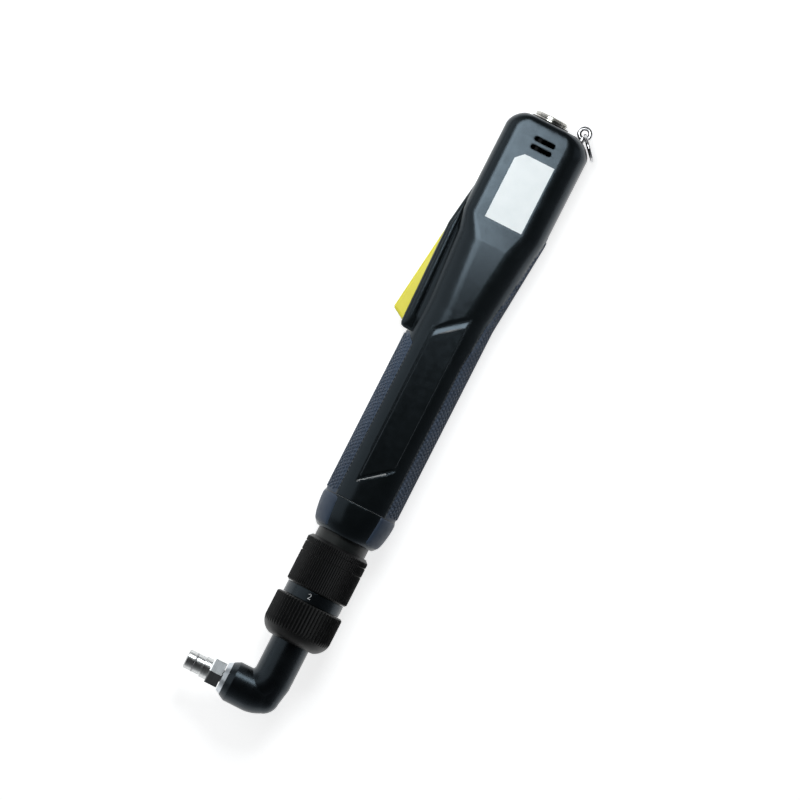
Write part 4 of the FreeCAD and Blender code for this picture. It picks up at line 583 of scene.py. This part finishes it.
def plate_crests():
    """The edge where the bevel at the panel's head meets the raised field, pale grey as a painted highlight.
    """
    outline = panel_outline(*PLATE_TOP_GAPS)
    # The head's edge runs from the end of the third corner's rounding to the start of the fourth's
    fourth = THIRD_CORNER * (PANEL_ROUND_STEPS + 1)
    right = outline[fourth - 1]
    left = outline[fourth]
    along = (right - left).normalized()
    up = Vector((-along.y, along.x))
    level = PANEL_FLOOR + PLATE_RISE
    points = []
    for station in range(CREST_STATIONS + 1):
        done = station / CREST_STATIONS
        half = CREST_WIDTH / 2 * math.sin(math.pi * (CREST_TAPER + (1 - 2 * CREST_TAPER) * done))
        place = left + (right - left) * (CREST_START + (CREST_END - CREST_START) * done)
        section = ((half, -CREST_SINK / 2), (0.0, CREST_HEIGHT), (-half, 0.0), (0.0, -CREST_SINK))
        for side, height in section:
            spot = place + up * side
            points.append((spot.x, spot.y, level + height))
    return both_sides("plate_crests", points, tube(points, CREST_STATIONS + 1), highlight_grey)


plate_crests()

STUD_PITCH = 2.1 * MM
STUD_RADIUS = 1.0 * MM
STUD_TOP_RADIUS = 0.6 * MM
STUD_HEIGHT = 0.45 * MM
STUD_SINK = 0.1 * MM
STUD_MARGIN = 0.35 * MM
STUD_SIDES = 6
STUD_LEVEL = 0.8 * MM
ROW_SHARE = math.sin(math.pi / 3)
STRIP_TURN = math.radians(55)


def stud_ring(tree, turn, y, radius, size):
    """Places on a strip round a stud's middle, each with its outward direction."""
    ring = []
    for side in range(STUD_SIDES):
        a = math.tau * side / STUD_SIDES
        place_turn = turn + size * math.cos(a) / radius
        ring.append((on_surface(tree, place_turn, y + size * math.sin(a)), outward(place_turn)))
    return ring


def stud_field(name, node, facing):
    """Raised six-sided studs over a rubber strip, each seated on the strip and clear of its edge."""
    tree = surface(node)
    low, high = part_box(node)
    radius = (on_surface(tree, facing, (low.y + high.y) / 2) - AXIS).dot(outward(facing))
    rows = int(STRIP_TURN * radius / (STUD_PITCH * ROW_SHARE))
    columns = int((high.y - low.y) / STUD_PITCH)
    points, faces = [], []
    for row in range(-rows, rows + 1):
        turn = facing + row * STUD_PITCH * ROW_SHARE / radius
        for column in range(columns):
            y = low.y + (column + (row % 2) / 2) * STUD_PITCH
            clear = stud_ring(tree, turn, y, radius, STUD_RADIUS + STUD_MARGIN)
            outer = [place for place, out in clear]
            if None in outer:
                continue
            depths = [(place - AXIS).dot(outward(turn)) for place in outer]
            if max(depths) - min(depths) > STUD_LEVEL:
                continue
            start = len(points)
            foot = stud_ring(tree, turn, y, radius, STUD_RADIUS)
            top = stud_ring(tree, turn, y, radius, STUD_TOP_RADIUS)
            points += [place - out * STUD_SINK for place, out in foot]
            points += [place + out * STUD_HEIGHT for place, out in top]
            faces += rings_joined(STUD_SIDES, start, 2)
    return piece(name, points, faces, rubber)


FRONT = math.pi
BACK = 0.0
stud_field("studs_front", "grip_front", FRONT)
stud_field("studs_back", "grip_back", BACK)

PAD_HEIGHT = 0.25 * MM
PAD_SINK = 0.3 * MM
PAD_EDGE = 0.35 * MM
PAD_END = 1.6 * MM
PAD_STEPS = 18
PAD_ROWS = 14
PAD_SCAN = math.radians(0.5)


def nose_pad(name, strip, facing):
    """The rubber strip carried on over the nose cap, as wide as the strip above it is at the seam."""
    strip_tree = surface(strip)
    cap_tree = surface("nose_cap")
    half = 0.0
    while on_surface(strip_tree, facing + half + PAD_SCAN, SEAM + STUD_PITCH) and half < STRIP_TURN:
        half += PAD_SCAN
    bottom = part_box("nose_cap")[0].y + PAD_END
    top = SEAM - PAD_EDGE
    rows = []
    for row in range(PAD_ROWS + 1):
        y = bottom + (top - bottom) * row / PAD_ROWS
        inner, outer = [], []
        for step in range(PAD_STEPS + 1):
            turn = facing + half * (2 * step / PAD_STEPS - 1)
            place = on_surface(cap_tree, turn, y)
            edge = row in (0, PAD_ROWS) or step in (0, PAD_STEPS)
            outer.append(place + outward(turn) * (0.0 if edge else PAD_HEIGHT))
            inner.append(place - outward(turn) * PAD_SINK)
        rows.append(outer + list(reversed(inner)))
    points = [point for row in rows for point in row]
    return piece(name, points, tube(points, PAD_ROWS + 1), rubber, smooth=True)


nose_pad("nose_pad_front", "grip_front", FRONT)
nose_pad("nose_pad_back", "grip_back", BACK)

BEAD_RADIUS = 0.14 * MM
BEAD_SIDES = 6
BEAD_STEPS = 180


def seam_bead():
    """A thin bead where the nose cap meets the housing, pale grey as a painted highlight of that edge."""
    tree = surface("nose_cap")
    points = []
    for step in range(BEAD_STEPS):
        turn = math.tau * step / BEAD_STEPS
        place = on_surface(tree, turn, SEAM - BEAD_RADIUS)
        for side in range(BEAD_SIDES):
            a = math.tau * side / BEAD_SIDES
            edge = outward(turn) * math.cos(a) + Vector((0, math.sin(a), 0))
            points.append(place + edge * BEAD_RADIUS)
    faces = tube(points, BEAD_STEPS, closed=True)
    return piece("seam_bead", points, faces, highlight_grey, smooth=True)


seam_bead()

BALL_RADIUS = 7.9 * MM
BALL_STEPS = 12
PIPE_OVERLAP = 15.0 * MM
PIPE_STRAIGHT = 14.6 * MM
FAIRING_SINK = 0.03 * MM
FAIRING_SIDES = 72
FAIRING_STEPS = 14
FAIRING_START = -7.0 * MM
FAIRING_END = 5.6 * MM
FAIRING_END_RADIUS = 5.3 * MM
FAIRING_CURVE = 2.2


def lathe(centre, along, profile):
    """A round body about an axis in the tool's side view, through pairs of distance and radius."""
    across = Vector((-along.y, along.x, 0))
    height = along.cross(across)
    points = []
    for distance, radius in profile:
        for side in range(FAIRING_SIDES):
            a = math.tau * side / FAIRING_SIDES
            edge = across * math.cos(a) + height * math.sin(a)
            points.append(centre + along * distance + edge * radius)
    return points


def elbow_fairing():
    """The elbow's full outer corner: a ball where the two axes meet, carried into pipe and barrel."""
    low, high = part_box("output_spindle")
    centre = Vector((AXIS.x, (low.y + high.y) / 2, AXIS.z))
    tree = surface("angle_head")
    pipe_radius = on_surface(tree, BACK, centre.y + PIPE_OVERLAP).x - AXIS.x - FAIRING_SINK
    pipe = [(-distance, pipe_radius) for distance in (PIPE_OVERLAP, PIPE_STRAIGHT, BALL_RADIUS)]
    for step in range(BALL_STEPS):
        a = math.pi / 2 * step / BALL_STEPS
        pipe.append((BALL_RADIUS * math.sin(a), BALL_RADIUS * math.cos(a)))
    barrel_radius = centre.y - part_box("angle_head")[0].y - FAIRING_SINK
    barrel = []
    for step in range(FAIRING_STEPS + 1):
        share = step / FAIRING_STEPS
        distance = FAIRING_START + (FAIRING_END - FAIRING_START) * share
        narrowing = (barrel_radius - FAIRING_END_RADIUS) * share ** FAIRING_CURVE
        barrel.append((distance, barrel_radius - narrowing))
    points = lathe(centre, Vector((0, -1, 0)), pipe)
    faces = tube(points, len(pipe))
    faces += rings_joined(FAIRING_SIDES, len(points), len(barrel))
    points += lathe(centre, Vector((1, 0, 0)), barrel)
    return piece("elbow_fairing", points, faces, black_enamel, smooth=True)


elbow_fairing()

NUMERAL_COUNT = 4
NUMERAL_HEIGHT = 3.9 * MM
NUMERAL_DEPTH = 0.05 * MM
NUMERAL_FACING = 2
NUMERAL_TURN = math.radians(97.6)


def letter_mesh(text):
    """The outline of a numeral as a thin plate, centred on the origin."""
    curve = bpy.data.curves.new("numeral", "FONT")
    curve.body = text
    curve.size = NUMERAL_HEIGHT
    curve.extrude = NUMERAL_DEPTH
    curve.align_x = "CENTER"
    curve.align_y = "CENTER"
    carrier = placed("numeral", curve)
    shape = final_shape(carrier)
    bpy.data.objects.remove(carrier)
    bpy.data.curves.remove(curve)
    return shape


def scale_numerals():
    """White numerals wrapped round the scale ring, upright when the tail is up."""
    low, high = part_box("scale_ring")
    centre_y = (low.y + high.y) / 2
    radius = (high.x - low.x) / 2
    points, faces = [], []
    for k in range(NUMERAL_COUNT):
        turn = NUMERAL_TURN - math.tau * (k + 1 - NUMERAL_FACING) / NUMERAL_COUNT
        flat, plates = letter_mesh(str(k + 1))
        start = len(points)
        for p in flat:
            out = outward(turn - p.x / radius)
            points.append(Vector((AXIS.x, centre_y + p.y, AXIS.z)) + out * (radius + p.z))
        faces += [tuple(start + i for i in plate) for plate in plates]
    return piece("scale_numerals", points, faces, white_ink)


scale_numerals()

THREAD_PITCH = 0.75 * MM
THREAD_HEIGHT = 0.3 * MM
THREAD_HALF = 0.3 * MM
THREAD_SINK = 0.1 * MM
THREAD_STEPS = 72
THREAD_FADE_STEPS = 12
THREAD_END = 0.6 * MM


def connector_thread():
    """The thread on the cable socket: one ridge that winds up the shell and fades at both ends."""
    low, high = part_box("connector_shell")
    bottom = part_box("connector_nut")[1].y + THREAD_END
    top = high.y - THREAD_END
    centre = (low + high) / 2
    wall = [v.co - centre for v in nodes["connector_shell"].data.vertices if bottom < v.co.y < high.y]
    radius = max(math.hypot(p.x, p.z) for p in wall)
    steps = int((top - bottom) / THREAD_PITCH * THREAD_STEPS)
    points = []
    for step in range(steps + 1):
        out = outward(math.tau * step / THREAD_STEPS)
        fade = min(1.0, step / THREAD_FADE_STEPS, (steps - step) / THREAD_FADE_STEPS)
        base = Vector((centre.x, bottom + (top - bottom) * step / steps, centre.z))
        up = Vector((0, THREAD_HALF, 0))
        points.append(base + out * (radius - THREAD_SINK) - up)
        points.append(base + out * (radius + THREAD_HEIGHT * fade))
        points.append(base + out * (radius - THREAD_SINK) + up)
    return piece("connector_thread", points, tube(points, steps + 1), nickel)


connector_thread()

RECESS_ARM = 1.7 * MM
RECESS_HALF = 0.4 * MM
RECESS_DEPTH = 1.4 * MM
RECESS_FOOT_SHARE = 0.45
RECESS_OVERRUN = 0.2 * MM
SCREW_SPACE = 8 * MM
WELD = 0.001 * MM
QUARTERS = 4


def cross(share):
    """A cross as a closed outline, with each arm shortened to a share of its length."""
    arm = RECESS_ARM * share
    corners = []
    for quarter in range(QUARTERS):
        turn = Matrix.Rotation(math.tau * quarter / QUARTERS, 2)
        for corner in ((arm, -RECESS_HALF), (arm, RECESS_HALF), (RECESS_HALF, RECESS_HALF)):
            corners.append(turn @ Vector(corner))
    return corners


def recessed_screws():
    """The housing's screws, with a tapered cross recess sunk into each head."""
    source = nodes["housing_screws"].data
    screws = []
    for vertex in source.vertices:
        near = [group for group in screws if (group[0].xy - vertex.co.xy).length < SCREW_SPACE]
        if near:
            near[0].append(vertex.co)
        else:
            screws.append([vertex.co])
    points, faces = [], []
    for group in screws:
        face = min(co.z for co in group)
        head = [co for co in group if co.z < face + RECESS_OVERRUN]
        x, y = ((min(co[i] for co in head) + max(co[i] for co in head)) / 2 for i in range(2))
        start = len(points)
        outlines = ((face - RECESS_OVERRUN, cross(1.0)), (face + RECESS_DEPTH, cross(RECESS_FOOT_SHARE)))
        for z, outline in outlines:
            points += [Vector((x + corner.x, y + corner.y, z)) for corner in outline]
        faces += rings_joined(len(outlines[0][1]), start, len(outlines))
    tool_mesh = bpy.data.meshes.new("recess")
    tool_mesh.from_pydata(points, [], faces)
    plain_mesh = source.copy()
    welded = bmesh.new()
    welded.from_mesh(plain_mesh)
    bmesh.ops.remove_doubles(welded, verts=welded.verts, dist=WELD)
    welded.to_mesh(plain_mesh)
    welded.free()
    tool = placed("recess", tool_mesh)
    plain = placed("plain_screws", plain_mesh)
    sunk = plain.modifiers.new("recess", "BOOLEAN")
    sunk.operation = "DIFFERENCE"
    sunk.solver = "EXACT"
    sunk.object = tool
    points, faces = final_shape(plain)
    for obj in (tool, plain):
        bpy.data.objects.remove(obj)
    for mesh in (tool_mesh, plain_mesh):
        bpy.data.meshes.remove(mesh)
    screws_piece = piece("housing_screws_recessed", points, faces, blackened)
    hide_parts("housing_screws")


recessed_screws()

# Springs, copied as pieces on their bodies in place of the CAD nodes


def squashed_spring(name, node, body):
    """A copy of a spring node as a piece on a body, with the node itself hidden."""
    points, faces = shape_of(nodes[node].data)
    spring = piece(name, points, faces, steel, body, smooth=True)
    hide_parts(node)
    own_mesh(spring)


squashed_spring(
    "clutch_spring_coils", "clutch_spring", "drive_line",
)
squashed_spring(
    "trigger_spring_coils", "trigger_spring", "housing",
)

# Camera, floor and light

camera_data = bpy.data.cameras.new("camera")
camera = placed("camera", camera_data)
bpy.context.scene.camera = camera
turn = Matrix((picture_right, picture_up, Vector((0, 0, 1)))).transposed()
camera.matrix_world = Matrix.Translation(middle + Vector((0, 0, CAMERA_DISTANCE))) @ turn.to_4x4()
camera_data.sensor_width = SENSOR
camera_data.lens = SENSOR * CAMERA_DISTANCE / (IMAGE_PIXELS * PIXEL)
camera_data.clip_end = CLIP_END

FLOOR_REACH = 12.0
FLOOR_SCALE = 3.0
FLOOR_DARK = (0.88, 0.88, 0.88)
FLOOR_PALE = (0.90, 0.90, 0.90)
FLOOR_ROUGHNESS = 0.8
FLOOR_LIFT = 0.76

floor_mesh = bpy.data.meshes.new("floor")
corner_signs = ((-1, -1), (1, -1), (1, 1), (-1, 1))
corners = [(x * FLOOR_REACH, y * FLOOR_REACH, 0) for x, y in corner_signs]
floor_mesh.from_pydata(corners, [], [(0, 1, 2, 3)])
floor = placed("floor", floor_mesh)
floor_paint = Paint("floor")
floor_paint.set(Base_Color=floor_paint.ramp(floor_paint.noise(FLOOR_SCALE), FLOOR_DARK, FLOOR_PALE))
floor_paint.set(Roughness=FLOOR_ROUGHNESS, Emission_Color=WHITE)
path = floor_paint.add("ShaderNodeLightPath")
seen = path.outputs["Is Camera Ray"]
for ray in ("Is Glossy Ray", "Is Transmission Ray"):
    either = floor_paint.add("ShaderNodeMath", operation="MAXIMUM")
    floor_paint.link(seen, either.inputs[0])
    floor_paint.link(path.outputs[ray], either.inputs[1])
    seen = either.outputs[0]
lift = floor_paint.add("ShaderNodeMath", operation="MULTIPLY")
floor_paint.link(seen, lift.inputs[0])
lift.inputs[1].default_value = FLOOR_LIFT
floor_paint.set(Emission_Strength=lift.outputs[0])
floor_mesh.materials.append(floor_paint.material)


def area_light(name, right, up, height, power, width, depth, colour):
    """A soft box, placed in the picture's own directions and turned to the middle of the tool."""
    data = bpy.data.lights.new(name, "AREA")
    data.shape = "RECTANGLE"
    data.size = width
    data.size_y = depth
    data.energy = power
    data.color = colour
    light = placed(name, data)
    light.location = middle + picture_right * right + picture_up * up + Vector((0, 0, height))
    light.visible_camera = False
    light.rotation_euler = (middle - light.location).to_track_quat("-Z", "Y").to_euler()


area_light(
    "key", right=-1.0, up=0.55, height=0.95, power=4.0, width=1.3, depth=1.7,
    colour=(0.96, 0.99, 1.0),
)
area_light(
    "tail_box", right=0.018, up=0.140, height=0.25, power=0.50, width=0.14, depth=0.14,
    colour=(0.95, 0.99, 1.0),
)
area_light(
    "fill", right=1.3, up=-0.1, height=0.35, power=0.5, width=0.4, depth=1.4,
    colour=(0.90, 0.95, 1.0),
)

# The studio round the tool: pale at the horizon, dark overhead, and brighter on the picture's left

HORIZON = (0.66, 0.68, 0.70, 1)
HALF_WAY_UP = 0.55
HALF_WAY = (0.18, 0.186, 0.192, 1)
ZENITH = (0.012, 0.0124, 0.0128, 1)
RIGHT_LEVEL = 0.35
LEFT_LEVEL = 0.85

world = bpy.data.worlds.new("studio")
bpy.context.scene.world = world
world.use_nodes = True
sky = world.node_tree
background = sky.nodes["Background"]
direction = sky.nodes.new("ShaderNodeTexCoord").outputs["Generated"]
parts = sky.nodes.new("ShaderNodeSeparateXYZ")
sky.links.new(direction, parts.inputs["Vector"])
height_ramp = sky.nodes.new("ShaderNodeValToRGB")
sky.links.new(parts.outputs["Z"], height_ramp.inputs["Fac"])
height_ramp.color_ramp.elements[0].color = HORIZON
height_ramp.color_ramp.elements[1].color = ZENITH
half_way = height_ramp.color_ramp.elements.new(HALF_WAY_UP)
half_way.color = HALF_WAY
sky.links.new(height_ramp.outputs["Color"], background.inputs["Color"])
side = sky.nodes.new("ShaderNodeVectorMath")
side.operation = "DOT_PRODUCT"
sky.links.new(direction, side.inputs[0])
side.inputs[1].default_value = -picture_right
level = sky.nodes.new("ShaderNodeMapRange")
level.inputs["From Min"].default_value = -1.0
level.inputs["To Min"].default_value = RIGHT_LEVEL
level.inputs["To Max"].default_value = LEFT_LEVEL
sky.links.new(side.outputs["Value"], level.inputs["Value"])
sky.links.new(level.outputs["Result"], background.inputs["Strength"])

bpy.context.scene.view_settings.view_transform = "Standard"
